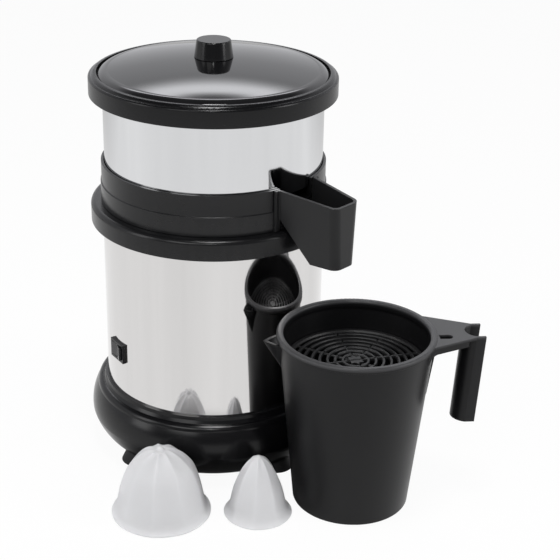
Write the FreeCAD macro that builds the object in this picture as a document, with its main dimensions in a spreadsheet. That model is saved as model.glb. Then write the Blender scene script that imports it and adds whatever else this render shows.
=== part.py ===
import FreeCAD, Part
import math
import os
import Sketcher

# Citrus press juicer: motor housing, juice bowl with chute, splash ring, lid, jug and two reamers.
# Millimetres. Origin on the worktop under the motor axis, +Z up, the chute points along -Y.

Vector = FreeCAD.Vector
doc = FreeCAD.newDocument("CitrusPress")
sheet = doc.addObject("Spreadsheet::Sheet", "Sizes")
nodes = []


class Size:
    """A length or an angle that carries both its number and its formula in the sheet."""

    def __init__(self, number, formula):
        self.number = number
        self.formula = formula

    def __add__(self, other):
        return Size(self.number + number_of(other), f"({self.formula} + {formula_of(other)})")

    def __radd__(self, other):
        return self + other

    def __sub__(self, other):
        return Size(self.number - number_of(other), f"({self.formula} - {formula_of(other)})")

    def __mul__(self, factor):
        return Size(self.number * number_of(factor), f"({self.formula} * {formula_of(factor)})")

    def __truediv__(self, divisor):
        return Size(self.number / number_of(divisor), f"({self.formula} / {formula_of(divisor)})")

    def __neg__(self):
        return Size(-self.number, f"(-1 * {self.formula})")


def number_of(value):
    return value.number if isinstance(value, Size) else float(value)


def formula_of(value):
    return value.formula if isinstance(value, Size) else repr(value)


def size(alias, number):
    """Puts one driving dimension in the sheet, reads it back and hands it on for use in formulas."""
    row = len(sheet.getUsedCells()) // 2 + 1
    sheet.set(f"A{row}", alias)
    sheet.set(f"B{row}", str(number))
    sheet.setAlias(f"B{row}", alias)
    sheet.recompute()
    return Size(float(sheet.get(alias)), f"Sizes.{alias}")


def cosine(angle):
    return Size(math.cos(math.radians(number_of(angle))), f"cos({formula_of(angle)} * 1 deg)")


def sine(angle):
    return Size(math.sin(math.radians(number_of(angle))), f"sin({formula_of(angle)} * 1 deg)")


def polar(radius, angle):
    return cosine(angle) * radius, sine(angle) * radius


def ring_of(count, radius, start):
    """Places spaced evenly round a circle, as (x, y, angle)."""
    places = []
    for step in range(count):
        angle = start + 360 * step / count
        places.append((*polar(radius, angle), angle))
    return places


def bind(thing, name, value):
    """Sets a property, tied to the sheet where the value comes from it."""
    if isinstance(value, Size):
        thing.setExpression(name, value.formula)
    else:
        setattr(thing, name, value)


def place(thing, x=0, y=0, z=0, turn=0):
    """Moves a piece to a point, turned about +Z by an angle in degrees."""
    spin = FreeCAD.Rotation(Vector(0, 0, 1), number_of(turn))
    thing.Placement = FreeCAD.Placement(Vector(number_of(x), number_of(y), number_of(z)), spin)
    for axis, value in (("x", x), ("y", y), ("z", z)):
        if isinstance(value, Size):
            thing.setExpression(f"Placement.Base.{axis}", value.formula)
    if isinstance(turn, Size):
        thing.setExpression("Placement.Rotation.Angle", turn.formula)
    return thing


def box(length, width, height):
    """A block with one corner at the origin, along +X, +Y and +Z."""
    block = doc.addObject("Part::Box", "block")
    for name, value in (("Length", length), ("Width", width), ("Height", height)):
        bind(block, name, value)
    return block


def centred_box(x, y, z, length, width, height, turn=0):
    """A block whose length runs outwards from a point, centred across it, turned about +Z."""
    half_width = width / 2
    sideways = cosine(turn + 90), sine(turn + 90)
    start_x = x - sideways[0] * half_width
    start_y = y - sideways[1] * half_width
    return place(box(length, width, height), start_x, start_y, z, turn)


def rod(radius, bottom, top, x=0, y=0):
    """An upright round bar between two heights."""
    bar = doc.addObject("Part::Cylinder", "bar")
    bind(bar, "Radius", radius)
    bind(bar, "Height", top - bottom)
    return place(bar, x, y, bottom)


def hexagon_bar(corner_radius, bottom, top):
    """An upright six-sided bar between two heights."""
    bar = doc.addObject("Part::Prism", "hexagon")
    bar.Polygon = 6
    bind(bar, "Circumradius", corner_radius)
    bind(bar, "Height", top - bottom)
    return place(bar, z=bottom)


def fuse(*pieces):
    joined = doc.addObject("Part::MultiFuse", "joined")
    joined.Shapes = list(pieces)
    return joined


def cut(base, *tools):
    left = doc.addObject("Part::Cut", "left")
    left.Base = base
    left.Tool = tools[0] if len(tools) == 1 else fuse(*tools)
    return left


def solid(shape):
    """A piece whose shape is worked out here from the sheet's sizes."""
    piece = doc.addObject("Part::Feature", "solid")
    piece.Shape = shape
    return piece


def node(label, piece):
    piece.Label = label
    nodes.append(piece)
    return piece


def via(radius, height):
    """A point that an arc of an outline passes through between its two ends."""
    return ("via", radius, height)


def pin_point(sketch, geometry, vertex, radius, height):
    """Ties a sketch point to its radius and height, or to an axis where one of them is zero."""
    for kind, axis, value in (("DistanceX", -2, radius), ("DistanceY", -1, height)):
        if not isinstance(value, Size) and value == 0:
            sketch.addConstraint(Sketcher.Constraint("PointOnObject", geometry, vertex, axis))
            continue
        rule = Sketcher.Constraint(kind, -1, 1, geometry, vertex, number_of(value))
        index = sketch.addConstraint(rule)
        if isinstance(value, Size):
            sketch.setExpression(f"Constraints[{index}]", value.formula)


def draw(sketch, outline):
    """Draws one closed outline of lines and arcs in a sketch, with every point tied to the sheet."""
    corners = [point for point in outline if point[0] != "via"]
    bends = {}
    for index, point in enumerate(outline):
        if point[0] == "via":
            bends[outline[index - 1]] = point[1:]
    flat = [Vector(number_of(radius), number_of(height), 0) for radius, height in corners]
    ends = []
    for index, corner in enumerate(corners):
        start = flat[index]
        stop = flat[(index + 1) % len(flat)]
        if corner not in bends:
            edge = sketch.addGeometry(Part.LineSegment(start, stop), False)
            ends.append((edge, 1, 2))
            continue
        radius, height = bends[corner]
        middle = Vector(number_of(radius), number_of(height), 0)
        edge = sketch.addGeometry(Part.Arc(start, middle, stop), False)
        reach = [sketch.getPoint(edge, vertex).distanceToPoint(start) for vertex in (1, 2)]
        ends.append((edge, 1, 2) if reach[0] < reach[1] else (edge, 2, 1))
    for index, (edge, first, last) in enumerate(ends):
        following = ends[(index + 1) % len(ends)]
        sketch.addConstraint(Sketcher.Constraint("Coincident", edge, last, following[0], following[1]))
    for (edge, first, last), corner in zip(ends, corners):
        pin_point(sketch, edge, first, *corner)
        if corner in bends:
            radius, height = bends[corner]
            guide = sketch.addGeometry(Part.Point(Vector(number_of(radius), number_of(height), 0)), True)
            sketch.addConstraint(Sketcher.Constraint("PointOnObject", guide, 1, edge))
            pin_point(sketch, guide, 1, radius, height)


def turned(name, *outlines):
    """A body made by turning outlines of (radius, height) points about the upright axis."""
    body = doc.addObject("PartDesign::Body", name)
    sketch = body.newObject("Sketcher::SketchObject", name + "_outline")
    plane = [feature for feature in body.Origin.OriginFeatures if feature.Role == "XZ_Plane"][0]
    sketch.AttachmentSupport = [(plane, "")]
    sketch.MapMode = "FlatFace"
    for outline in outlines:
        draw(sketch, outline)
    lathe = body.newObject("PartDesign::Revolution", name + "_turn")
    lathe.Profile = sketch
    lathe.ReferenceAxis = (sketch, ["V_Axis"])
    lathe.Angle = 360
    return body


# Share of a quarter-round's radius between its corner and its middle
QUARTER = 1 - math.sqrt(0.5)

# Degrees from one side of a circle to the other
HALF_TURN = 180

# Share of a shallow dome's height that it has at half its radius
DOME_BULGE = 0.7477

# Clearances
still_gap = size("still_gap", 0.1)
moving_gap = size("moving_gap", 0.3)
running_gap = size("running_gap", 0.05)
press_gap = size("press_gap", 0.02)
head_gap = size("head_gap", 0.5)

# Heights, from the worktop up
foot_height = size("foot_height", 5.0)
base_height = size("base_height", 60.2)
tube_show = size("tube_show", 147.9)
deck_height = size("deck_height", 17.1)
bowl_skirt = size("bowl_skirt", 16.4)
collar_height = size("collar_height", 18.5)
ring_show = size("ring_show", 58.3)
base_top = foot_height + base_height
deck_low = base_top + tube_show
deck_top = deck_low + deck_height
bowl_low = deck_top + moving_gap
bowl_step = bowl_low + bowl_skirt
collar_top = bowl_step + collar_height
lid_low = collar_top + ring_show

# Motor housing: base, tube and deck
tube_radius = size("tube_radius", 95.4)
tube_wall = size("tube_wall", 1.0)
tube_seat = size("tube_seat", 8.0)
base_flare = size("base_flare", 14.6)
base_wall = size("base_wall", 3.5)
base_tuck = size("base_tuck", 20.5)
base_bulge_height = size("base_bulge_height", 26.0)
base_tuck_in = size("base_tuck_in", 9.7)
base_tuck_up = size("base_tuck_up", 8.4)
base_side_in = size("base_side_in", 0.7)
base_side_up = size("base_side_up", 12.0)
shoulder_drop = size("shoulder_drop", 5.7)
shoulder_in = size("shoulder_in", 5.3)
shoulder_round = size("shoulder_round", 5.0)
lip_width = size("lip_width", 2.8)
lip_draft = size("lip_draft", 0.6)
lip_height = size("lip_height", 2.9)
vent_count = 10
vent_start = size("vent_start", 54.0)
vent_length = size("vent_length", 16.0)
vent_width = size("vent_width", 5.0)
deck_overhang = size("deck_overhang", 9.9)
deck_round = size("deck_round", 4.0)
deck_plate = size("deck_plate", 5.0)
deck_wall = size("deck_wall", 3.0)
tube_inner = tube_radius - tube_wall
base_radius = tube_radius + base_flare
base_low_radius = base_radius - base_tuck
deck_radius = tube_radius + deck_overhang
deck_under = deck_top - deck_plate
tube_low = base_top - tube_seat
tube_top = deck_low + tube_seat
floor_top = foot_height + base_wall
bulge = foot_height + base_bulge_height

# Feet and the long rods that clamp base, tube and deck together
foot_count = 4
foot_radius = size("foot_radius", 15.5)
foot_neck = size("foot_neck", 9.5)
foot_rise = size("foot_rise", 13.0)
foot_inset = size("foot_inset", 3.5)
foot_recess = size("foot_recess", 3.5)
foot_turn = size("foot_turn", -6.0)
rod_turn = size("rod_turn", 39.0)
screw_radius = size("screw_radius", 2.0)
screw_head = size("screw_head", 4.0)
screw_head_depth = size("screw_head_depth", 2.5)
screw_reach = size("screw_reach", 11.0)
boss_wall = size("boss_wall", 4.0)
rod_radius = size("rod_radius", 2.5)
rod_head = size("rod_head", 4.5)
rod_head_depth = size("rod_head_depth", 3.0)
rod_inset = size("rod_inset", 10.4)
rod_boss_depth = size("rod_boss_depth", 17.0)
foot_places = ring_of(foot_count, base_low_radius - foot_inset, foot_turn)
rod_places = ring_of(foot_count, tube_inner - rod_inset, rod_turn)
screw_top = foot_height + screw_reach
screw_hole = screw_radius + still_gap
rod_hole = rod_radius + still_gap
rod_seat = foot_height + rod_head_depth + still_gap
rod_boss_top = rod_seat + boss_wall

# Electric motor hung under the deck
motor_radius = size("motor_radius", 62.0)
motor_drop = size("motor_drop", 12.2)
endbell_plate = size("endbell_plate", 4.0)
endbell_wall = size("endbell_wall", 3.0)
coil_height = size("coil_height", 13.0)
stack_height = size("stack_height", 36.0)
bearing_radius = size("bearing_radius", 17.5)
bearing_width = size("bearing_width", 11.0)
shaft_radius = size("shaft_radius", 7.5)
shaft_core = size("shaft_core", 9.0)
shaft_nose = size("shaft_nose", 6.0)
air_gap = size("air_gap", 0.4)
rotor_radius = size("rotor_radius", 33.0)
slot_count = 12
slot_width = size("slot_width", 6.0)
slot_depth = size("slot_depth", 14.0)
slot_mouth = size("slot_mouth", 2.0)
coil_gap = size("coil_gap", 1.0)
rotor_bar = size("rotor_bar", 4.0)
bolt_radius = size("bolt_radius", 2.5)
bolt_head = size("bolt_head", 4.2)
bolt_inset = size("bolt_inset", 6.5)
bolt_turn = size("bolt_turn", 14.0)
bolt_count = 4
fan_radius = size("fan_radius", 46.0)
fan_height = size("fan_height", 12.0)
fan_blade = size("fan_blade", 2.0)
fan_count = 9
seal_radius = size("seal_radius", 14.0)
seal_height = size("seal_height", 7.0)
seal_lip = size("seal_lip", 2.0)
motor_top = deck_top - motor_drop
bearing_room = coil_height + endbell_plate * 2 + still_gap
stack_top = motor_top - bearing_room
stack_low = stack_top - stack_height
motor_low = stack_low - bearing_room
stator_bore = rotor_radius + air_gap
bolt_circle = motor_radius - bolt_inset
bolt_hole = bolt_radius + still_gap
bolt_places = ring_of(bolt_count, bolt_circle, bolt_turn)
shaft_hole = shaft_core + moving_gap

# Spindle above the deck
hub_flat = size("hub_flat", 14.0)
hub_length = size("hub_length", 34.0)
hub_cap = size("hub_cap", 2.0)
pin_radius = size("pin_radius", 1.5)
sleeve_wall = size("sleeve_wall", 2.5)
sleeve_rise = size("sleeve_rise", 15.0)
sleeve_gap = size("sleeve_gap", 0.9)
hub_lift = size("hub_lift", 1.5)
hub_corner = hub_flat / math.sqrt(3)
sleeve_bore = hub_corner + sleeve_gap
sleeve_radius = sleeve_bore + sleeve_wall
sleeve_top = bowl_step + sleeve_rise
hub_low = sleeve_top + hub_lift
hub_top = hub_low + hub_length
pin_height = hub_low + hub_length / 3

# Juice bowl and chute
bowl_overhang = size("bowl_overhang", 1.2)
bowl_step_in = size("bowl_step_in", 0.8)
bowl_wall = size("bowl_wall", 2.2)
ledge_depth = size("ledge_depth", 7.6)
ledge_width = size("ledge_width", 2.6)
bowl_fall = size("bowl_fall", 7.0)
chute_width = size("chute_width", 47.0)
chute_end_width = size("chute_end_width", 30.0)
chute_draft = size("chute_draft", 3.0)
chute_reach = size("chute_reach", 52.2)
chute_slant_start = size("chute_slant_start", 7.9)
chute_depth = size("chute_depth", 58.0)
chute_wall = size("chute_wall", 2.5)
chute_outlet = size("chute_outlet", 24.5)
chute_corner = size("chute_corner", 7.5)
chute_fall = size("chute_fall", 4.5)
flange_width = size("flange_width", 2.2)
flange_depth = size("flange_depth", 1.4)
mouth_inset = size("mouth_inset", 2.0)
ring_step = size("ring_step", 2.4)
ring_wall = size("ring_wall", 1.0)
ring_into_lid = size("ring_into_lid", 7.0)
bowl_radius = tube_radius + bowl_overhang
collar_radius = bowl_radius - bowl_step_in
collar_bore = collar_radius - bowl_wall
ledge_top = collar_top - ledge_depth
ledge_bore = collar_bore - ledge_width
ring_radius = tube_radius - ring_step
ring_bore = ring_radius - ring_wall
ring_low = ledge_top + moving_gap
ring_top = lid_low + ring_into_lid

# Lid
rim_overhang = size("rim_overhang", 11.3)
rim_side = size("rim_side", 13.3)
rim_round = size("rim_round", 2.0)
rim_rise = size("rim_rise", 2.3)
rim_slope = size("rim_slope", 4.3)
rim_crown_in = size("rim_crown_in", 1.6)
rim_crown_up = size("rim_crown_up", 1.7)
rim_wall = size("rim_wall", 3.0)
dome_inset = size("dome_inset", 7.0)
dome_wall = size("dome_wall", 2.5)
dome_edge = size("dome_edge", 0.6)
dome_shoulder_in = size("dome_shoulder_in", 9.3)
dome_shoulder_up = size("dome_shoulder_up", 4.6)
dome_edge_in = size("dome_edge_in", 2.8)
dome_edge_up = size("dome_edge_up", 2.7)
dome_crown = size("dome_crown", 14.0)
knob_radius = size("knob_radius", 16.3)
knob_height = size("knob_height", 14.7)
knob_taper = size("knob_taper", 1.8)
knob_round = size("knob_round", 1.2)
rim_radius = ring_radius + rim_overhang
dome_radius = rim_radius - dome_inset
rim_shoulder = lid_low + rim_side + rim_round
rim_top = rim_shoulder + rim_rise
rebate = rim_shoulder - rim_round / 2
dome_low = rebate + still_gap
dome_rim = dome_low + dome_edge
dome_top = dome_rim + dome_crown

# Switch
switch_turn = size("switch_turn", 165.0)
switch_rise = size("switch_rise", 39.6)
switch_width = size("switch_width", 21.8)
switch_height = size("switch_height", 17.0)
switch_plate = size("switch_plate", 2.0)
switch_border = size("switch_border", 2.2)
switch_depth = size("switch_depth", 18.0)
pocket_wall = size("pocket_wall", 1.1)
pocket_depth = size("pocket_depth", 6.0)
hinge_rise = size("hinge_rise", 0.8)
rocker_lift = size("rocker_lift", 2.4)
rocker_dip = size("rocker_dip", 0.9)
rocker_edge = size("rocker_edge", 0.5)
rocker_keel = size("rocker_keel", 3.5)
rocker_pin = size("rocker_pin", 1.2)
rocker_pin_reach = size("rocker_pin_reach", 0.8)
rocker_swing = size("rocker_swing", 0.6)
rocker_tilt = size("rocker_tilt", 7.0)
tab_length = size("tab_length", 8.0)
tab_thick = size("tab_thick", 0.8)
tab_width = size("tab_width", 4.8)
switch_middle = base_top + switch_rise
hinge_radius = tube_radius + hinge_rise

# Jug and strainer
jug_gap = size("jug_gap", 4.5)
jug_foot_radius = size("jug_foot_radius", 49.1)
jug_flare = size("jug_flare", 15.2)
jug_height = size("jug_height", 155.0)
jug_wall = size("jug_wall", 2.6)
jug_bead_width = size("jug_bead_width", 5.6)
bead_lip = size("bead_lip", 1.4)
jug_bead_height = size("jug_bead_height", 5.5)
jug_floor = size("jug_floor", 2.6)
jug_hollow = size("jug_hollow", 1.6)
beak_reach = size("beak_reach", 13.0)
beak_drop = size("beak_drop", 25.0)
beak_width = size("beak_width", 26.0)
beak_bow_back = size("beak_bow_back", 6.8)
beak_bow_side = size("beak_bow_side", 7.2)
beak_toe = size("beak_toe", 1.5)
beak_wall = size("beak_wall", 1.8)
beak_gap = size("beak_gap", 0.6)
beak_root = size("beak_root", 6.0)
handle_turn = size("handle_turn", -42.8)
arm_length = size("arm_length", 31.2)
arm_drop = size("arm_drop", 1.2)
arm_width = size("arm_width", 66.0)
arm_sink = size("arm_sink", 13.0)
gusset_size = size("gusset_size", 8.0)
arm_slot_start = size("arm_slot_start", 0.8)
arm_slot_length = size("arm_slot_length", 11.0)
arm_slot_width = size("arm_slot_width", 7.0)
arm_slot_shift = size("arm_slot_shift", 10.3)
arm_slot_wall = size("arm_slot_wall", 1.2)
arm_depth = size("arm_depth", 7.0)
arm_wall = size("arm_wall", 2.6)
grip_width = size("grip_width", 26.0)
grip_bulge = size("grip_bulge", 10.0)
grip_flange = size("grip_flange", 8.0)
grip_length = size("grip_length", 78.5)
grip_lean = size("grip_lean", 4.6)
fin_length = size("fin_length", 52.0)
fin_thick = size("fin_thick", 4.0)
fin_toe = size("fin_toe", 2.0)
fin_depth = size("fin_depth", 3.4)
fin_reach = size("fin_reach", 5.5)
shelf_width = size("shelf_width", 2.6)
bead_round = size("bead_round", 1.8)
strainer_drop = size("strainer_drop", 25.5)
strainer_plate = size("strainer_plate", 2.5)
strainer_first = size("strainer_first", 9.2)
strainer_pitch = size("strainer_pitch", 6.35)
strainer_bar = size("strainer_bar", 2.8)
spoke_width = size("spoke_width", 1.8)
strainer_gap_count = 8
spoke_count = 8
jug_y = -(base_radius + jug_gap + jug_foot_radius)
jug_mouth_radius = jug_foot_radius + jug_flare
bead_radius = jug_mouth_radius + bead_lip
bead_bore = bead_radius - jug_bead_width
bead_low = jug_height - jug_bead_height
strainer_top = jug_height - strainer_drop
strainer_low = strainer_top - strainer_plate

# Reamers
brim_large = size("brim_large", 41.7)
dome_large = size("dome_large", 36.0)
reamer_large_height = size("reamer_large_height", 61.5)
brim_small = size("brim_small", 28.7)
dome_small = size("dome_small", 22.0)
reamer_small_height = size("reamer_small_height", 54.5)
waist_large_in = size("waist_large_in", 7.9)
waist_large_drop = size("waist_large_drop", 18.4)
waist_small_in = size("waist_small_in", 6.2)
waist_small_drop = size("waist_small_drop", 19.1)
reamer_wall = size("reamer_wall", 2.6)
rib_height = size("rib_height", 2.2)
brim_edge = size("brim_edge", 1.6)
nub_radius = size("nub_radius", 3.0)
brim_rise = size("brim_rise", 12.0)
reamer_large_tuck = size("reamer_large_tuck", 6.8)
reamer_small_gap = size("reamer_small_gap", 7.2)
reamer_large_turn = size("reamer_large_turn", -153.1)
reamer_small_turn = size("reamer_small_turn", -120.8)
rib_turn_large = size("rib_turn_large", 15.6)
rib_turn_small = size("rib_turn_small", -9.1)
large_rib_count = 9
small_rib_count = 8

# Electrical parts in the base
gland_width = size("gland_width", 14.0)
gland_height = size("gland_height", 10.0)
gland_rise = size("gland_rise", 31.0)
gland_flange = size("gland_flange", 2.5)
gland_bore = size("gland_bore", 5.0)
gland_stand = size("gland_stand", 0.8)
capacitor_radius = size("capacitor_radius", 17.5)
capacitor_height = size("capacitor_height", 55.0)
capacitor_x = size("capacitor_x", 38.0)
capacitor_y = size("capacitor_y", 30.0)
clip_wall = size("clip_wall", 1.8)
clip_height = size("clip_height", 16.0)
block_length = size("block_length", 40.0)
block_width = size("block_width", 17.0)
block_height = size("block_height", 18.0)
block_x = size("block_x", -38.0)
block_y = size("block_y", 45.0)
block_way_count = 4
block_slot = size("block_slot", 6.0)

# Rubber feet, each a flared cone with a screw recess, shaped to the underside of the base
feet = [doc.addObject("Part::Cone", "foot") for _ in foot_places]
for foot, (x, y, angle) in zip(feet, foot_places):
    bind(foot, "Radius1", foot_radius)
    bind(foot, "Radius2", foot_neck)
    bind(foot, "Height", foot_rise)
    place(foot, x, y)
foot_cuts = []
for x, y, angle in foot_places:
    foot_cuts.append(rod(screw_head + head_gap, 0, foot_recess, x, y))
    foot_cuts.append(rod(screw_hole, 0, foot_height, x, y))
foot_cuts.append(turned("base_under_side", [
    (0, foot_height),
    (base_low_radius, foot_height),
    via(base_radius - base_tuck_in, foot_height + base_tuck_up),
    (base_radius, bulge),
    (0, bulge),
]))
node("rubber_feet", cut(fuse(*feet), *foot_cuts))

# Screws up through the feet
foot_screws = []
for x, y, angle in foot_places:
    foot_screws.append(rod(screw_head, foot_recess - screw_head_depth, foot_recess, x, y))
    foot_screws.append(rod(screw_radius, foot_recess, screw_top, x, y))
node("foot_screws", fuse(*foot_screws))

# Base: a round plastic shell with a lip round the tube, screw bosses, floor vents and a cord hole
shoulder = base_top - shoulder_drop
shoulder_radius = base_radius - shoulder_in
shoulder_top = base_top - lip_height
base_blank = turned("base_blank", [
    (0, foot_height),
    (base_low_radius, foot_height),
    via(base_radius - base_tuck_in, foot_height + base_tuck_up),
    (base_radius, bulge),
    via(base_radius - base_side_in, bulge + base_side_up),
    (shoulder_radius, shoulder - shoulder_round),
    via(shoulder_radius - shoulder_round * QUARTER, shoulder - shoulder_round * QUARTER),
    (shoulder_radius - shoulder_round, shoulder),
    (tube_radius + lip_width, shoulder_top),
    (tube_radius + lip_width - lip_draft, base_top),
    (tube_radius + still_gap, base_top),
    (tube_radius + still_gap, tube_low),
    (tube_inner - base_wall, tube_low),
    (tube_inner - base_wall, tube_low - base_wall),
    (shoulder_radius - base_wall, tube_low - base_wall * 2),
    (base_radius - base_wall, bulge),
    (base_low_radius, floor_top),
    (0, floor_top),
])
base_under = foot_height - still_gap
base_bosses = []
base_cuts = []
for x, y, angle in foot_places:
    base_bosses.append(rod(screw_hole + boss_wall, floor_top - still_gap, screw_top + boss_wall, x, y))
    base_cuts.append(rod(screw_hole, base_under, screw_top + still_gap, x, y))
for x, y, angle in rod_places:
    base_bosses.append(rod(rod_head + boss_wall, floor_top - still_gap, rod_boss_top, x, y))
    base_cuts.append(rod(rod_head + still_gap, base_under, rod_seat, x, y))
    base_cuts.append(rod(rod_hole, base_under, rod_boss_top + still_gap, x, y))
for x, y, angle in ring_of(vent_count, base_low_radius - vent_start, foot_turn):
    vent_height = base_wall + still_gap * 2
    base_cuts.append(centred_box(x, y, base_under, vent_length, vent_width, vent_height, angle))


def obround(width, height, y, depth, z):
    """A flat-sided slot shape along +Y: a block with two half-round ends, at x = 0."""
    half = height / 2
    reach = (width - height) / 2
    middle = place(box(width - height, depth, height), -reach, y, z - half)
    ends = []
    for x in (-reach, reach):
        end = doc.addObject("Part::Cylinder", "end")
        bind(end, "Radius", half)
        bind(end, "Height", depth)
        place(end, x, y, z)
        end.Placement.Rotation = FreeCAD.Rotation(Vector(1, 0, 0), -90)
        ends.append(end)
    return fuse(middle, *ends)


gland_z = foot_height + gland_rise
gland_in = base_radius - base_wall * 3
gland_out = base_radius + gland_stand
base_cuts.append(obround(gland_width, gland_height, gland_in, base_wall * 6, gland_z))
node("base_shell", cut(fuse(base_blank, *base_bosses), *base_cuts))

# Cord gland: a plastic bush in the back of the base, with no cord
plug_width = gland_width - still_gap * 2
plug_height = gland_height - still_gap * 2
gland_plug = obround(plug_width, plug_height, gland_in, gland_out - gland_in, gland_z)
gland_face = obround(gland_width + base_wall, gland_height + base_wall, gland_out, gland_flange, gland_z)
gland_hole = obround(gland_width - gland_bore, gland_bore, gland_in - still_gap, base_wall * 6, gland_z)
node("cord_gland", cut(fuse(gland_plug, gland_face), gland_hole))

# Steel tube of the housing, with a window for the switch
window_width = switch_width - switch_border
window_height = switch_height - switch_border
switch_x, switch_y = polar(tube_inner - switch_depth, switch_turn)
window = centred_box(
    switch_x, switch_y, switch_middle - window_height / 2,
    switch_depth * 2, window_width, window_height, switch_turn,
)
tube_space = rod(tube_inner, tube_low - still_gap, tube_top + still_gap)
node("body_tube", cut(rod(tube_radius, tube_low, tube_top), tube_space, window))

# Deck: the ring that closes the tube and carries the motor below and the bowl above
groove_in = tube_inner - still_gap
groove_out = tube_radius + still_gap
seal_seat = deck_top - seal_height
seal_wall = seal_radius + still_gap
deck_blank = turned("deck_blank", [
    (deck_radius, deck_low),
    (deck_radius, deck_top - deck_round),
    via(deck_radius - deck_round * QUARTER, deck_top - deck_round * QUARTER),
    (deck_radius - deck_round, deck_top),
    (seal_wall, deck_top),
    (seal_wall, seal_seat),
    (shaft_hole, seal_seat),
    (shaft_hole, seal_seat - deck_wall),
    (seal_wall + boss_wall, seal_seat - deck_wall),
    (seal_wall + boss_wall, deck_under),
    (groove_in - deck_wall, deck_under),
    (groove_in - deck_wall, deck_low + deck_wall),
    (groove_in, deck_low + deck_wall),
    (groove_in, tube_top),
    (groove_out, tube_top),
    (groove_out, deck_low),
    (groove_out + deck_wall, deck_low),
    (groove_out + deck_wall, deck_under),
    (deck_radius - deck_wall, deck_under),
    (deck_radius - deck_wall, deck_low),
])
rod_boss_low = deck_under - rod_boss_depth
rod_top = deck_under - still_gap
bolt_top = deck_under + deck_plate / 3
deck_bosses = []
deck_cuts = []
for x, y, angle in rod_places:
    deck_bosses.append(rod(rod_hole + boss_wall, rod_boss_low, deck_under + still_gap, x, y))
    deck_cuts.append(rod(rod_hole, rod_boss_low - still_gap, rod_top + still_gap, x, y))
for x, y, angle in bolt_places:
    deck_bosses.append(rod(bolt_hole + boss_wall, motor_top, deck_under + still_gap, x, y))
    deck_cuts.append(rod(bolt_hole, motor_top - still_gap, bolt_top + still_gap, x, y))
node("body_deck", cut(fuse(deck_blank, *deck_bosses), *deck_cuts))

# Long rods from the bottom of the base up into the deck
tie_rods = []
for x, y, angle in rod_places:
    tie_rods.append(rod(rod_head, rod_seat - rod_head_depth, rod_seat, x, y))
    tie_rods.append(rod(rod_radius, rod_seat, rod_top, x, y))
node("tie_rods", fuse(*tie_rods))

# Motor end covers, each a cup with a bearing pocket
bearing_seat = bearing_radius + still_gap + endbell_wall


def endbell(name, face, sign):
    """A motor end cover; sign says which way its cup opens."""
    plate = face + endbell_plate * sign
    rim = face + bearing_room * sign
    pocket = plate + bearing_width * sign
    blank = turned(name, [
        (shaft_hole, face),
        (motor_radius, face),
        (motor_radius, rim),
        (motor_radius - endbell_wall, rim),
        (motor_radius - endbell_wall, plate),
        (bearing_seat, plate),
        (bearing_seat, pocket),
        (bearing_radius + still_gap, pocket),
        (bearing_radius + still_gap, plate),
        (shaft_hole, plate),
    ])
    low = face - endbell_plate * 2
    holes = [rod(bolt_hole, low, face + endbell_plate * 2, x, y) for x, y, angle in bolt_places]
    return cut(blank, *holes)


node("upper_endbell", endbell("upper_cup", motor_top, -1))
node("lower_endbell", endbell("lower_cup", motor_low, 1))


def bearing(name, low):
    """A ball bearing as one ring with a groove between its races on both faces."""
    high = low + bearing_width
    race = (bearing_radius - shaft_radius) / 3
    groove = bearing_width / 8
    bore = shaft_radius + running_gap
    return turned(name, [
        (bore, low),
        (shaft_radius + race, low),
        (shaft_radius + race, low + groove),
        (bearing_radius - race, low + groove),
        (bearing_radius - race, low),
        (bearing_radius, low),
        (bearing_radius, high),
        (bearing_radius - race, high),
        (bearing_radius - race, high - groove),
        (shaft_radius + race, high - groove),
        (shaft_radius + race, high),
        (bore, high),
    ])


upper_bearing_top = motor_top - endbell_plate
lower_bearing_low = motor_low + endbell_plate
node("upper_bearing", bearing("upper_bearing", upper_bearing_top - bearing_width))
node("lower_bearing", bearing("lower_bearing", lower_bearing_low))

# Stator stack with winding slots, and the windings wound through them
stack_under = stack_low - still_gap
stack_over = stack_height + still_gap * 2
stator_space = rod(stator_bore, stack_under, stack_top + still_gap)
slots = []
legs = []
for x, y, angle in ring_of(slot_count, stator_bore - slot_mouth, foot_turn):
    slots.append(centred_box(x, y, stack_under, slot_depth + slot_mouth, slot_width, stack_over, angle))
coil_in = stator_bore + slot_mouth
coil_out = bolt_circle - bolt_hole - coil_gap
leg_length = slot_depth - slot_mouth - coil_gap - still_gap
leg_width = slot_width - still_gap * 2
for x, y, angle in ring_of(slot_count, coil_in + coil_gap, foot_turn):
    legs.append(centred_box(x, y, stack_under, leg_length, leg_width, stack_over, angle))
stator_holes = [rod(bolt_hole, stack_under, stack_top + still_gap, x, y) for x, y, angle in bolt_places]
node("stator", cut(rod(motor_radius, stack_low, stack_top), stator_space, *slots, *stator_holes))


def coil_head(name, low, high):
    """One end of the windings: a ring against the stack with sloped corners away from it."""
    slope = (coil_out - coil_in) / 4
    spring = (low + high) / 2
    return turned(name, [
        (coil_in, low),
        (coil_out, low),
        (coil_out, spring),
        (coil_out - slope, high),
        (coil_in + slope, high),
        (coil_in, spring),
    ])


upper_coil = coil_head("upper_coil", stack_top, stack_top + coil_height)
lower_coil = coil_head("lower_coil", stack_low, stack_low - coil_height)
node("windings", fuse(upper_coil, lower_coil, *legs))

# Long bolts that hang the motor from the deck
motor_bolts = []
for x, y, angle in bolt_places:
    motor_bolts.append(rod(bolt_head, motor_low - endbell_plate, motor_low, x, y))
    motor_bolts.append(rod(bolt_radius, motor_low, bolt_top, x, y))
node("motor_bolts", fuse(*motor_bolts))

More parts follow.
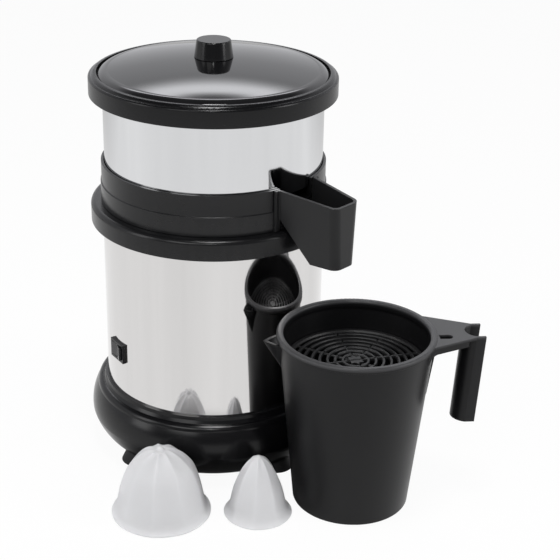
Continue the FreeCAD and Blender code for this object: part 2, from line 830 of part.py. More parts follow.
# Rubber shaft seal in the deck
node("shaft_seal", turned("shaft_seal", [
    (shaft_radius + running_gap, seal_seat),
    (seal_radius, seal_seat),
    (seal_radius, deck_top),
    (seal_radius - seal_lip, deck_top),
    (seal_radius - seal_lip, seal_seat + seal_lip),
    (shaft_radius + running_gap + seal_lip, seal_seat + seal_lip),
    (shaft_radius + running_gap, seal_seat + seal_lip * 2),
]))

# Spindle: shaft, rotor, fan and drive hub with its cross pin
fan_top = motor_low - endbell_plate - moving_gap
fan_low = fan_top - fan_height
shaft_low = fan_low - endbell_plate
upper_shoulder = upper_bearing_top - bearing_width - moving_gap
lower_shoulder = lower_bearing_low + bearing_width + moving_gap
nose_low = hub_low
nose_top = hub_top - hub_cap
shaft_blank = turned("shaft_blank", [
    (0, shaft_low),
    (shaft_nose, shaft_low),
    (shaft_nose, fan_top),
    (shaft_radius, fan_top),
    (shaft_radius, lower_shoulder),
    (shaft_core, lower_shoulder),
    (shaft_core, upper_shoulder),
    (shaft_radius, upper_shoulder),
    (shaft_radius, nose_low),
    (shaft_nose, nose_low),
    (shaft_nose, nose_top),
    (0, nose_top),
])


def cross_bar(radius, length):
    """A round bar lying along X through the drive hub."""
    bar = doc.addObject("Part::Cylinder", "cross_bar")
    bind(bar, "Radius", radius)
    bind(bar, "Height", length)
    place(bar, -(length / 2), 0, pin_height)
    bar.Placement.Rotation = FreeCAD.Rotation(Vector(0, 1, 0), 90)
    return bar


node("motor_shaft", cut(shaft_blank, cross_bar(pin_radius + press_gap, hub_flat * 2)))
node("rotor", turned("rotor", [
    (shaft_core + press_gap, stack_low),
    (rotor_radius - rotor_bar, stack_low),
    (rotor_radius - rotor_bar, stack_low - rotor_bar),
    (rotor_radius, stack_low - rotor_bar),
    (rotor_radius, stack_top + rotor_bar),
    (rotor_radius - rotor_bar, stack_top + rotor_bar),
    (rotor_radius - rotor_bar, stack_top),
    (shaft_core + press_gap, stack_top),
]))
fan_hub = shaft_nose + boss_wall
fan_plate = turned("fan_plate", [
    (shaft_nose + press_gap, fan_low),
    (fan_hub, fan_low),
    (fan_hub, fan_top - fan_blade),
    (fan_radius, fan_top - fan_blade),
    (fan_radius, fan_top),
    (shaft_nose + press_gap, fan_top),
])
blades = []
for x, y, angle in ring_of(fan_count, shaft_nose + boss_wall / 2, foot_turn):
    blade_reach = fan_radius - shaft_nose - boss_wall / 2 - fan_blade
    blades.append(centred_box(x, y, fan_low, blade_reach, fan_blade, fan_height - fan_blade / 2, angle))
node("cooling_fan", fuse(fan_plate, *blades))
hub_bore = rod(shaft_nose + press_gap, hub_low - still_gap, nose_top + press_gap)
hub_hole = cross_bar(pin_radius + press_gap, hub_flat * 2)
node("drive_hub", cut(hexagon_bar(hub_corner, hub_low, hub_top), hub_bore, hub_hole))
node("drive_pin", cross_bar(pin_radius, hub_flat - still_gap * 4))

# Juice bowl: skirt, collar, ledge for the splash ring, falling floor and a sleeve round the spindle
skirt_bore = bowl_radius - bowl_wall
floor_edge = bowl_step + bowl_wall
floor_rise = floor_edge + bowl_fall
bowl_blank = turned("bowl_blank", [
    (bowl_radius, bowl_low),
    (bowl_radius, bowl_step),
    (collar_radius, bowl_step + bowl_step_in),
    (collar_radius, collar_top),
    (collar_bore, collar_top),
    (collar_bore, ledge_top),
    (ledge_bore, ledge_top),
    (ledge_bore, floor_edge),
    (sleeve_radius + bowl_fall, floor_rise),
    (sleeve_radius, sleeve_top - sleeve_wall),
    (sleeve_radius, sleeve_top),
    (sleeve_bore, sleeve_top),
    (sleeve_bore, bowl_step - bowl_wall),
    (sleeve_radius, bowl_step - bowl_wall),
    (sleeve_radius + bowl_fall, floor_rise - bowl_wall),
    (ledge_bore - bowl_wall, floor_edge - bowl_wall),
    (skirt_bore, bowl_step - bowl_wall * 2),
    (skirt_bore, bowl_low),
])
mouth_width = chute_width - chute_wall * 2 - mouth_inset * 2
mouth_start = ledge_bore - ledge_width * 2
mouth = place(
    box(mouth_width, bowl_wall * 8, collar_height * 2),
    -(mouth_width / 2), -(mouth_start + bowl_wall * 8), floor_edge + still_gap,
)
node("juice_bowl", cut(bowl_blank, mouth))


# Juice chute: an open trough with a slanted floor, a downward outlet and two flanges on the bowl
chute_top = number_of(collar_top)
chute_low = chute_top - number_of(chute_depth)
chute_start = number_of(ledge_bore)
chute_end = number_of(bowl_radius + chute_reach)
chute_thick = number_of(chute_wall)


def trough(inset, top, bottom):
    """A tapered block along -Y with rounded outer corners, narrower at its bottom than at its top."""
    wires = []
    for height, draft in ((top, 0), (bottom, number_of(chute_draft))):
        root = number_of(chute_width) / 2 - inset - draft
        tip = number_of(chute_end_width) / 2 - inset - draft
        end = chute_end - inset
        taper = math.atan2(root - tip, end - chute_start)
        half_angle = (math.pi / 2 + taper) / 2
        radius = max(number_of(chute_corner) - inset, number_of(chute_corner) / 4)
        back = radius / math.tan(half_angle)
        corner = Vector(tip, -end, height)
        along_side = Vector(math.sin(taper), math.cos(taper), 0)
        along_end = Vector(-1, 0, 0)
        inwards = (along_side + along_end).normalize()
        side_in = corner + along_side * back
        middle = corner + inwards * (radius / math.sin(half_angle) - radius)
        end_in = corner + along_end * back
        mirrored = [Vector(-point.x, point.y, point.z) for point in (end_in, middle, side_in)]
        right = Vector(root, -chute_start, height)
        left = Vector(-root, -chute_start, height)
        wires.append(Part.Wire([
            Part.LineSegment(left, right).toShape(),
            Part.LineSegment(right, side_in).toShape(),
            Part.Arc(side_in, middle, end_in).toShape(),
            Part.LineSegment(end_in, mirrored[0]).toShape(),
            Part.Arc(*mirrored).toShape(),
            Part.LineSegment(mirrored[2], left).toShape(),
        ]))
    return Part.makeLoft(wires, True, True)


def above_slant(thickness):
    """Everything over the chute's slanted floor, raised by a thickness."""
    near = number_of(bowl_radius + chute_slant_start)
    far = chute_end - number_of(chute_outlet)
    high = number_of(bowl_low)
    slope = (high - chute_low) / (far - near)
    lift = thickness * math.hypot(1, slope)
    beyond = chute_end * 2
    roof = high + slope * near + chute_top
    outline = [
        (0, high + slope * near + lift),
        (beyond, high + slope * (near - beyond) + lift),
        (beyond, roof),
        (0, roof),
    ]
    side = number_of(chute_width)
    points = [Vector(-side, -y, z) for y, z in outline]
    return Part.Face(Part.makePolygon(points + points[:1])).extrude(Vector(side * 2, 0, 0))


chute_outer = trough(0, chute_top, chute_low).common(above_slant(0))
chute_space = trough(chute_thick, chute_top + chute_thick, chute_low - chute_thick)
chute_shape = chute_outer.cut(chute_space.common(above_slant(chute_thick)))
bowl_bottom = number_of(bowl_low)
bowl_clear = number_of(bowl_radius + still_gap)
strip_start = number_of(chute_width) / 2 - chute_thick
strip_width = number_of(flange_width) + chute_thick
strip_out = math.sqrt((bowl_clear + number_of(flange_depth)) ** 2 - strip_start ** 2)
for strip_x in (strip_start, -strip_start - strip_width):
    corner = Vector(strip_x, -strip_out, bowl_bottom)
    strip = Part.makeBox(strip_width, number_of(chute_width), chute_top - bowl_bottom, corner)
    chute_shape = chute_shape.fuse(strip)
chute_shape = chute_shape.cut(Part.makeCylinder(bowl_clear, chute_top, Vector(0, 0, bowl_bottom / 2)))
rim_low = chute_top - number_of(chute_fall)
rim_side_view = [(strip_out, chute_top), (chute_end, rim_low), (chute_end, chute_top)]
rim_corners = [Vector(-number_of(chute_width), -y, z) for y, z in rim_side_view]
rim_wedge = Part.Face(Part.makePolygon(rim_corners + rim_corners[:1]))
chute_shape = chute_shape.cut(rim_wedge.extrude(Vector(number_of(chute_width) * 2, 0, 0)))
node("juice_chute", solid(chute_shape.removeSplitter()))

# Steel splash ring that stands in the bowl's collar
node("splash_ring", turned("splash_ring", [
    (ring_bore, ring_low),
    (ring_radius, ring_low),
    (ring_radius, ring_top),
    (ring_bore, ring_top),
]))

# Lid: rim, glossy dome, knob and its screw
rim_groove_in = ring_bore - moving_gap
rim_groove_out = ring_radius + moving_gap
rim_skirt = rim_groove_in - rim_wall
dome_seat = dome_radius + still_gap
node("lid_rim", turned("lid_rim", [
    (rim_radius, lid_low),
    (rim_radius, rim_shoulder - rim_round),
    via(rim_radius - rim_round * QUARTER, rim_shoulder - rim_round * QUARTER),
    (rim_radius - rim_round, rim_shoulder),
    via(rim_radius - rim_round - rim_crown_in, rim_shoulder + rim_crown_up),
    (rim_radius - rim_round - rim_slope, rim_top),
    (dome_seat, rim_top),
    (dome_seat, rebate),
    (rim_skirt, rebate),
    (rim_skirt, lid_low + rim_wall),
    (rim_groove_in, lid_low + rim_wall),
    (rim_groove_in, ring_top + moving_gap),
    (rim_groove_out, ring_top + moving_gap),
    (rim_groove_out, lid_low),
    (rim_groove_out + rim_wall, lid_low),
    (rim_groove_out + rim_wall, rebate - rim_wall),
    (rim_radius - rim_wall, rebate - rim_wall),
    (rim_radius - rim_wall, lid_low),
]))
dome_shoulder = dome_radius - dome_shoulder_in
dome_shoulder_height = dome_rim + dome_shoulder_up
dome_under = dome_top - dome_wall
dome_foot = dome_radius - dome_wall * 3
node("lid_dome", turned("lid_dome", [
    (dome_radius, dome_low),
    (dome_radius, dome_rim),
    via(dome_radius - dome_edge_in, dome_rim + dome_edge_up),
    (dome_shoulder, dome_shoulder_height),
    via(dome_shoulder / 2, dome_shoulder_height + (dome_top - dome_shoulder_height) * DOME_BULGE),
    (screw_hole, dome_top),
    (screw_hole, dome_under),
    (screw_head + head_gap, dome_under),
    via(dome_foot / 2, dome_low + (dome_under - dome_low) * DOME_BULGE),
    (dome_foot, dome_low),
]))
knob_top = dome_top + knob_height
knob_hole_top = knob_top - knob_height / 3
knob_tip = knob_radius - knob_taper
node("lid_knob", turned("lid_knob", [
    (screw_hole, dome_top),
    (knob_radius, dome_top),
    (knob_tip, knob_top - knob_round),
    via(knob_tip - knob_round * QUARTER, knob_top - knob_round * QUARTER),
    (knob_tip - knob_round, knob_top),
    (0, knob_top),
    (0, knob_hole_top),
    (screw_hole, knob_hole_top),
]))
knob_screw_head = rod(screw_head, dome_under - screw_head_depth, dome_under)
node("knob_screw", fuse(knob_screw_head, rod(screw_radius, dome_under, knob_hole_top - still_gap)))


# Rocker switch in the tube: bezel, terminals and rocker
def on_switch(piece):
    """Turns a piece made along +X so that it faces out of the tube at the switch."""
    return place(piece, 0, 0, switch_middle, switch_turn)


def block(x_low, x_high, y_half, z_half):
    """A block centred on the switch's own X axis."""
    return Part.makeBox(x_high - x_low, y_half * 2, z_half * 2, Vector(x_low, -y_half, -z_half))


hinge_out = number_of(hinge_radius)
pocket_half = number_of(window_width / 2 - pocket_wall)
pocket_side = number_of(window_height / 2 - pocket_wall)
bezel_out = number_of(tube_radius + switch_plate)
bezel_in = number_of(tube_inner - switch_depth)
plate_in = number_of(tube_radius - switch_plate)
plate_height = number_of(switch_height)
bezel = block(plate_in, bezel_out, number_of(switch_width) / 2, plate_height / 2)
face_radius = number_of(tube_radius + running_gap)
tube_face = Part.makeCylinder(face_radius, plate_height * 2, Vector(0, 0, -plate_height))
stem_half = number_of(window_width / 2 - still_gap)
stem_side = number_of(window_height / 2 - still_gap)
bezel = bezel.cut(tube_face).fuse(block(bezel_in, bezel_out, stem_half, stem_side))
pocket_floor = number_of(hinge_radius - pocket_depth)
bezel = bezel.cut(block(pocket_floor, bezel_out + plate_height, pocket_half, pocket_side))
pin_bore = number_of(rocker_pin + running_gap)
pin_half = pocket_side + number_of(rocker_pin_reach)
bezel = bezel.cut(Part.makeCylinder(pin_bore, pin_half * 2, Vector(hinge_out, 0, -pin_half)))
node("switch_bezel", on_switch(solid(bezel.removeSplitter())))
tabs = []
tab_pitch = number_of(switch_width) / 4
for step in (-1, 0, 1):
    tab_y = step * tab_pitch - number_of(tab_thick) / 2
    tab_corner = Vector(bezel_in - number_of(tab_length), tab_y, -number_of(tab_width) / 2)
    tabs.append(Part.makeBox(number_of(tab_length), number_of(tab_thick), number_of(tab_width), tab_corner))
node("switch_terminals", on_switch(solid(Part.makeCompound(tabs))))
rocker_half = pocket_half - number_of(rocker_swing)
rocker_side = pocket_side - number_of(moving_gap)
rocker_outline = [
    (-number_of(rocker_keel), -rocker_half / 2),
    (-number_of(rocker_edge), -rocker_half),
    (number_of(rocker_lift), -rocker_half),
    (number_of(rocker_dip), 0),
    (number_of(rocker_lift), rocker_half),
    (-number_of(rocker_edge), rocker_half),
    (-number_of(rocker_keel), rocker_half / 2),
]
rocker_face = [Vector(x, y, -rocker_side) for x, y in rocker_outline]
rocker = Part.Face(Part.makePolygon(rocker_face + rocker_face[:1])).extrude(Vector(0, 0, rocker_side * 2))
pin_end = pin_half - number_of(still_gap)
rocker_pins = Part.makeCylinder(number_of(rocker_pin), pin_end * 2, Vector(0, 0, -pin_end))
hinge_x, hinge_y = polar(hinge_radius, switch_turn)
rocker_piece = solid(rocker.fuse(rocker_pins).removeSplitter())
node("switch_rocker", place(rocker_piece, hinge_x, hinge_y, switch_middle, switch_turn - rocker_tilt))

# Start capacitor in its clip, and the terminal block, on the floor of the base
capacitor_low = floor_top + clip_wall
capacitor_top = capacitor_low + capacitor_height
can = rod(capacitor_radius, capacitor_low, capacitor_top, capacitor_x, capacitor_y)
stud = rod(screw_hole, capacitor_top - still_gap, capacitor_top + screw_head_depth, capacitor_x, capacitor_y)
node("capacitor", fuse(can, stud))
clip_radius = capacitor_radius + still_gap + clip_wall
clip_out = rod(clip_radius, floor_top, floor_top + clip_height, capacitor_x, capacitor_y)
clip_top = floor_top + clip_height + still_gap
clip_in = rod(capacitor_radius + still_gap, capacitor_low, clip_top, capacitor_x, capacitor_y)
node("capacitor_clip", cut(clip_out, clip_in))
block_body = place(box(block_length, block_width, block_height), block_x, block_y, floor_top)
block_pitch = block_length / block_way_count
block_cuts = []
for way in range(block_way_count):
    slot_x = block_x + block_pitch * way + (block_pitch - block_slot) / 2
    for slot_y in (block_y - still_gap, block_y + block_width - block_slot + still_gap):
        slot_z = floor_top + block_height / 2
        block_cuts.append(place(box(block_slot, block_slot, block_height), slot_x, slot_y, slot_z))
node("terminal_block", cut(block_body, *block_cuts))

# Jug: tapered cup with a bead round its mouth, pouring beak, arm and hooked grip
inner_foot = jug_foot_radius - jug_wall
jug_slope = jug_flare / jug_height


def jug_inner(height):
    return inner_foot + jug_slope * height


shelf = strainer_low - moving_gap
cup = turned("cup", [
    (0, jug_hollow),
    (jug_foot_radius - jug_wall * 2, jug_hollow),
    (jug_foot_radius - jug_wall, 0),
    (jug_foot_radius - jug_hollow, 0),
    via(jug_foot_radius - jug_hollow * QUARTER, jug_hollow * QUARTER),
    (jug_foot_radius, jug_hollow),
    (jug_inner(bead_low) + jug_wall, bead_low),
    (bead_radius, bead_low + jug_bead_height / 5),
    (bead_radius, jug_height - bead_round),
    via(bead_radius - bead_round * QUARTER, jug_height - bead_round * QUARTER),
    (bead_radius - bead_round, jug_height),
    (bead_bore + bead_round, jug_height),
    via(bead_bore + bead_round * QUARTER, jug_height - bead_round * QUARTER),
    (bead_bore, jug_height - bead_round),
    (bead_bore, bead_low),
    (jug_inner(bead_low - jug_wall), bead_low - jug_wall),
    (jug_inner(shelf), shelf),
    (jug_inner(shelf) - shelf_width, shelf),
    (jug_inner(shelf) - shelf_width, shelf - shelf_width),
    (jug_inner(shelf - shelf_width * 3), shelf - shelf_width * 3),
    (jug_inner(jug_hollow + jug_floor), jug_hollow + jug_floor),
    (0, jug_hollow + jug_floor),
])


def wall_radius(height):
    """Outer radius of the jug's wall at a height."""
    return number_of(jug_foot_radius) + number_of(jug_slope) * height


def prism(points, low, high):
    """An upright block over a plan of (x, y) points."""
    corners = [Vector(x, y, low) for x, y in points]
    return Part.Face(Part.makePolygon(corners + corners[:1])).extrude(Vector(0, 0, high - low))


arm_top = number_of(jug_height - arm_drop)
arm_low = arm_top - number_of(arm_depth)
root_depth = number_of(jug_wall) / 2
arm_start = wall_radius(number_of(bead_low)) - number_of(arm_sink)
grip_half = number_of(grip_width) / 2
grip_axis = number_of(bead_radius + arm_length)
skin = number_of(arm_wall)
lean = number_of(grip_lean / grip_length)


def grip_section(radius, bulge_depth, height, flange):
    """Round-backed section of the grip, convex towards the jug and open outwards, at a height."""
    middle = grip_axis - lean * (arm_top - height)
    tip = middle + flange
    start = Vector(middle, radius, height)
    stop = Vector(middle, -radius, height)
    return Part.Wire([
        Part.LineSegment(Vector(tip, radius, height), start).toShape(),
        Part.Arc(start, Vector(middle - bulge_depth, 0, height), stop).toShape(),
        Part.LineSegment(stop, Vector(tip, -radius, height)).toShape(),
        Part.LineSegment(Vector(tip, -radius, height), Vector(tip, radius, height)).toShape(),
    ])


def grip_loft(inset, flange, extra):
    """The grip's outer shape, drawn in by an inset and made longer at both ends by an extra length."""
    radius = grip_half - inset
    bulge_depth = number_of(grip_bulge) - inset
    ends = (arm_top - number_of(grip_length) - extra, arm_top + extra)
    return Part.makeLoft([grip_section(radius, bulge_depth, end, flange) for end in ends], True, True)


arm_root = number_of(arm_width) / 2
arm_plan = [(arm_start, -arm_root), (grip_axis, -grip_half), (grip_axis, grip_half), (arm_start, arm_root)]
bay_start = arm_start - grip_half
bay_end = grip_axis + grip_half
arm_bay = [
    (bay_start, skin - arm_root),
    (bay_end, skin - grip_half),
    (bay_end, grip_half - skin),
    (bay_start, arm_root - skin),
]
arm = prism(arm_plan, arm_low, arm_top).cut(prism(arm_bay, arm_low - skin, arm_top - skin))
slot_from = number_of(bead_radius + arm_slot_start)
slot_half = number_of(arm_slot_width) / 2
slot_wall = number_of(arm_slot_wall)
slot_round = slot_from + number_of(arm_slot_length) - slot_half
slot_y = -number_of(arm_slot_shift)


def slot_block(half, low, high):
    """The arm's slot as an upright block of a half width, round at its outer end."""
    plan = [
        (slot_from, slot_y - half), (slot_round, slot_y - half),
        (slot_round, slot_y + half), (slot_from, slot_y + half),
    ]
    return prism(plan, low, high).fuse(Part.makeCylinder(half, high - low, Vector(slot_round, slot_y, low)))


def gusset(side):
    """A plate with a hollow lower edge that carries one side wall of the arm down on to the cup."""
    start = Vector(arm_start, side * arm_root, arm_low)
    along = Vector(grip_axis - arm_start, side * (grip_half - arm_root), 0).normalize()
    back = start.x * along.x + start.y * along.y
    reach = number_of(gusset_size)
    wall = math.sqrt(wall_radius(arm_low) ** 2 - arm_start ** 2 - arm_root ** 2 + back ** 2) - back
    low = Vector(0, 0, -reach)
    outer = start + along * (wall + reach)
    inner = start + along * wall
    hollow = start + along * (wall + reach * QUARTER) + low * QUARTER
    sides = [
        Part.LineSegment(start, outer).toShape(),
        Part.Arc(outer, hollow, inner + low).toShape(),
        Part.LineSegment(inner + low, start + low).toShape(),
        Part.LineSegment(start + low, start).toShape(),
    ]
    inwards = Vector(-along.y, along.x, 0) * -side * skin
    return Part.Face(Part.Wire(sides)).extrude(inwards)


flange = number_of(grip_flange)
grip_hollow = grip_loft(skin, flange * 2 + grip_half, skin)
arm = arm.fuse(slot_block(slot_half + slot_wall, arm_low, arm_top))
arm = arm.cut(slot_block(slot_half, arm_low + slot_wall, arm_top + skin))
handle = arm.fuse([gusset(-1), gusset(1), grip_loft(0, flange, 0)]).cut(grip_hollow)
fin_low = arm_low - number_of(fin_length)
fin_root = wall_radius(arm_low)
fin_outline = [
    (wall_radius(fin_low) - root_depth, fin_low),
    (wall_radius(fin_low) + number_of(fin_toe), fin_low + number_of(fin_toe)),
    (fin_root + number_of(fin_depth), arm_low - number_of(fin_depth)),
    (fin_root + number_of(fin_reach), arm_low),
    (fin_root - root_depth, arm_low),
]
fin_points = [Vector(x, -number_of(fin_thick) / 2, z) for x, z in fin_outline]
fin = Part.Face(Part.makePolygon(fin_points + fin_points[:1])).extrude(Vector(0, number_of(fin_thick), 0))
cup_height = number_of(jug_height + jug_wall)
cup_space = Part.makeCone(wall_radius(0) - root_depth, wall_radius(cup_height) - root_depth, cup_height)
handle_piece = solid(handle.fuse(fin).cut(cup_space).removeSplitter())
place(handle_piece, turn=handle_turn)

beak_top = number_of(bead_low - beak_gap)
beak_low = beak_top - number_of(beak_drop)
beak_tip = wall_radius(beak_top) + number_of(beak_reach)
beak_side = number_of(beak_width) / 2
beak_foot = wall_radius(beak_low)


def beak_solid(inset, lift):
    """A pouring beak with bowed sides that slants back to a small toe low on the wall."""
    outline = [
        (beak_foot - number_of(beak_root), beak_side - inset),
        (beak_tip - number_of(beak_bow_back) - inset, number_of(beak_bow_side) - inset),
        (beak_tip - inset * 2, 0),
    ]
    toe = number_of(beak_toe) / beak_side
    rings = []
    mouth = (beak_top + lift, 1, 0)
    foot = (beak_low + inset * 2, toe, beak_foot - beak_tip * toe)
    for height, share, shift in (mouth, foot):
        points = [Vector(x * share + shift, y * share, height) for x, y in outline]
        mirrored = [Vector(point.x, -point.y, height) for point in points]
        rings.append(Part.Wire([
            Part.Arc(points[0], points[1], points[2]).toShape(),
            Part.Arc(mirrored[2], mirrored[1], mirrored[0]).toShape(),
            Part.LineSegment(mirrored[0], points[0]).toShape(),
        ]))
    return Part.makeLoft(rings, True, True)


beak_turn = handle_turn + HALF_TURN
beak_piece = place(solid(beak_solid(0, 0).cut(cup_space)), turn=beak_turn)
beak_hollow = place(solid(beak_solid(number_of(beak_wall), number_of(beak_gap))), turn=beak_turn)
jug = cut(fuse(cup, handle_piece, beak_piece), beak_hollow)
node("jug", place(jug, 0, jug_y))

# Strainer plate that lies on the shelf in the jug: rings and spokes
strainer_radius = jug_inner(shelf) - moving_gap
ring_gaps = []
for step in range(strainer_gap_count):
    gap_out = strainer_first + strainer_pitch * step
    gap_in = gap_out - strainer_pitch + strainer_bar
    ring_gaps.append([
        (gap_in, strainer_low - still_gap), (gap_out, strainer_low - still_gap),
        (gap_out, strainer_top + still_gap), (gap_in, strainer_top + still_gap),
    ])
gaps = turned("strainer_gaps", *ring_gaps)
spokes = []
for x, y, angle in ring_of(spoke_count, strainer_bar, handle_turn):
    spoke_low = strainer_low - strainer_plate
    spokes.append(centred_box(x, y, spoke_low, strainer_radius, spoke_width, strainer_plate * 3, angle))
plate = rod(strainer_radius, strainer_low, strainer_top)
node("jug_strainer", place(cut(plate, cut(gaps, *spokes)), 0, jug_y))


# Reamers: hollow ribbed domes with a bell brim and a six-sided socket for the drive hub
RIB_SHARE = 0.42
CAVITY_SHARE = 0.6
BELL_IN = 0.22
BELL_UP = 0.42


def reamer(name, brim, dome, height, ribs, waist, waist_height, phase):
    """A reamer standing on its brim; waist is the dome's radius at waist_height."""
    socket_corner = (hub_flat + moving_gap * 2) / math.sqrt(3)
    column = socket_corner + reamer_wall
    core = dome - rib_height
    core_top = height - rib_height
    cavity_top = height * CAVITY_SHARE
    blank = turned(name + "_core", [
        (0, core_top),
        via(waist - rib_height, waist_height),
        (core, brim_rise),
        via(core + (brim - core) * BELL_IN, brim_rise * BELL_UP),
        (brim, brim_edge),
        (brim, 0),
        (core - reamer_wall, 0),
        (core - reamer_wall, brim_rise),
        (column + still_gap, cavity_top),
        (column, cavity_top),
        (column, brim_rise / 3),
        (0, brim_rise / 3),
    ])
    drop = number_of(rib_height + brim_edge)
    near = number_of(nub_radius) / 2
    arcs = []
    for depth in (0, drop):
        arcs.append(Part.Arc(
            Vector(near, 0, number_of(height) - depth),
            Vector(number_of(waist) - depth, 0, number_of(waist_height)),
            Vector(number_of(dome) - depth, 0, number_of(brim_rise - rib_height)),
        ))
    sides = [arc.toShape() for arc in arcs]
    sides.append(Part.LineSegment(arcs[0].StartPoint, arcs[1].StartPoint).toShape())
    sides.append(Part.LineSegment(arcs[0].EndPoint, arcs[1].EndPoint).toShape())
    face = Part.Face(Part.Wire(Part.sortEdges(sides)[0]))
    width = 360 / ribs * RIB_SHARE
    wedge = face.revolve(Vector(0, 0, 0), Vector(0, 0, 1), width)
    fins = []
    for step in range(ribs):
        fin = wedge.copy()
        fin.rotate(Vector(), Vector(0, 0, 1), number_of(phase) + 360 * step / ribs - width / 2)
        fins.append(fin)
    ribbing = solid(fins[0].multiFuse(fins[1:]))
    nub = rod(nub_radius, cavity_top, height)
    socket = hexagon_bar(socket_corner, brim_rise / 3 - still_gap, hub_length)
    return cut(fuse(blank, ribbing, nub), socket)


large_x, large_y = polar(base_radius + brim_large - reamer_large_tuck, reamer_large_turn)
small_x, small_y = polar(base_radius + brim_small + reamer_small_gap, reamer_small_turn)
large = reamer(
    "large", brim_large, dome_large, reamer_large_height, large_rib_count,
    dome_large - waist_large_in, reamer_large_height - waist_large_drop, rib_turn_large,
)
small = reamer(
    "small", brim_small, dome_small, reamer_small_height, small_rib_count,
    dome_small - waist_small_in, reamer_small_height - waist_small_drop, rib_turn_small,
)
node("large_reamer", place(large, large_x, large_y))
node("small_reamer", place(small, small_x, small_y))

# Check every piece, then write one file for each
doc.recompute()
for thing in doc.Objects:
    for flag in ("Invalid", "Error"):
        if flag in thing.State:
            raise RuntimeError(f"{thing.Name} ({thing.Label}) is {flag}")
for piece in nodes:
    if piece.Shape.isNull() or not piece.Shape.isValid() or not piece.Shape.Solids:
        raise RuntimeError(f"{piece.Label} has no valid solid")
os.makedirs("parts", exist_ok=True)
for piece in nodes:
    piece.Shape.exportStep(f"parts/{piece.Label}.step")
    extent = piece.Shape.BoundBox
    spans = [round(length, 1) for length in (extent.XLength, extent.YLength, extent.ZLength)]
    print(piece.Label, len(piece.Shape.Solids), "solids", round(piece.Shape.Volume), "mm3", spans)
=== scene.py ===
import math

import bmesh
import bpy
from mathutils import Matrix, Vector


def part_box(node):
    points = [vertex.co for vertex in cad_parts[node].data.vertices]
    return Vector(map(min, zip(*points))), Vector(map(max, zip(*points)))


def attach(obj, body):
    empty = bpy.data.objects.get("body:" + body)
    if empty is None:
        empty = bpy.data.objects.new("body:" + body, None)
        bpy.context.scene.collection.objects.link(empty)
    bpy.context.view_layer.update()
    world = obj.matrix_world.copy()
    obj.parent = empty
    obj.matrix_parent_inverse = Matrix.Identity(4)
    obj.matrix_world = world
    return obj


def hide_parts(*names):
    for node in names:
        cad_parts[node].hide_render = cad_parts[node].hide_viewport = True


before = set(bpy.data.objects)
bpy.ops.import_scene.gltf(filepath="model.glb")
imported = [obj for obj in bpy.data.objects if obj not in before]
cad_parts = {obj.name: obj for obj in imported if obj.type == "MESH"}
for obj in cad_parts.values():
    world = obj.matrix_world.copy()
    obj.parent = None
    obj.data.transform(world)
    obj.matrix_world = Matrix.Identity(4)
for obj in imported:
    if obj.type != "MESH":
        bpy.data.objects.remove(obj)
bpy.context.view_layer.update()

scene = bpy.context.scene
scene.view_settings.view_transform = "Standard"


# Worktop: a wide sheet of matt white paper that the press and its loose pieces stand on.
# Seen directly it is white. Polished surfaces see it glow white too, with painted shade in that glow:
# dimmer far behind the press, and a painted shadow of the press close in front of it.
# Everywhere else it is plain paper that takes a soft shadow.
def finish_step(tree, kind, values=None, sources=None, **traits):
    """One step of a finish: its traits by name, and its own values and incoming links by socket."""
    step = tree.nodes.new("ShaderNode" + kind)
    for trait, choice in traits.items():
        setattr(step, trait, choice)
    for socket, value in (values or {}).items():
        step.inputs[socket].default_value = value
    for socket, source in (sources or {}).items():
        tree.links.new(source, step.inputs[socket])
    return step


def finish_sum(tree, operation, first, second):
    """Two values of a finish worked out to one, where the second may be a plain number."""
    total = finish_step(tree, "Math", sources={0: first}, operation=operation)
    if isinstance(second, float):
        total.inputs[1].default_value = second
    else:
        tree.links.new(second, total.inputs[1])
    return total.outputs[0]


floor_span = 12.0
paper_white = (0.86, 0.86, 0.86, 1)
glow_share = 0.94
view_turn = math.radians(41.66)
view_forward = (math.cos(view_turn), math.sin(view_turn), 0)
glow_near, glow_far = 0.3, 0.9
far_glow = 0.68
shade_middle = (-0.075, -0.067, 0)
shade_near, shade_far = 0.07, 0.13
shade_level = 0.05
floor_mesh = bpy.data.meshes.new("worktop")
floor_bm = bmesh.new()
bmesh.ops.create_grid(floor_bm, x_segments=1, y_segments=1, size=floor_span / 2)
floor_bm.to_mesh(floor_mesh)
floor_bm.free()
worktop = bpy.data.objects.new("worktop", floor_mesh)
scene.collection.objects.link(worktop)
paper = bpy.data.materials.new("white_paper")
paper.use_nodes = True
paper_tree = paper.node_tree
paper_tree.nodes.clear()
paper_place = finish_step(paper_tree, "NewGeometry").outputs["Position"]
# Painted shade in the glow that polished surfaces see: it dims far behind the press, and a painted shadow
# darkens it close in front of the press.
paper_depth = finish_step(
    paper_tree, "VectorMath", {1: view_forward}, {0: paper_place}, operation="DOT_PRODUCT",
)
paper_far_shade = finish_step(
    paper_tree, "MapRange",
    {"From Min": glow_near, "From Max": glow_far, "To Min": 1, "To Max": far_glow},
    {"Value": paper_depth.outputs["Value"]},
)
paper_reach = finish_step(
    paper_tree, "VectorMath", {1: shade_middle}, {0: paper_place}, operation="DISTANCE",
)
paper_shade = finish_step(
    paper_tree, "MapRange",
    {"From Min": shade_near, "From Max": shade_far, "To Min": shade_level},
    {"Value": paper_reach.outputs["Value"]},
    interpolation_type="SMOOTHSTEP",
)
paper_rays = finish_step(paper_tree, "LightPath")
paper_direct = paper_rays.outputs["Is Camera Ray"]
paper_painted_shade = finish_sum(paper_tree, "MULTIPLY", paper_far_shade.outputs["Result"], paper_shade.outputs["Result"])
paper_level = finish_sum(paper_tree, "MAXIMUM", paper_painted_shade, paper_direct)
paper_seen = finish_sum(paper_tree, "MAXIMUM", paper_direct, paper_rays.outputs["Is Glossy Ray"])
paper_shown = finish_sum(paper_tree, "MAXIMUM", paper_seen, paper_rays.outputs["Is Transmission Ray"])
paper_share = finish_sum(paper_tree, "MULTIPLY", paper_shown, glow_share)
paper_matt = finish_step(paper_tree, "BsdfDiffuse", {"Color": paper_white})
paper_glow = finish_step(paper_tree, "Emission", sources={"Strength": paper_level})
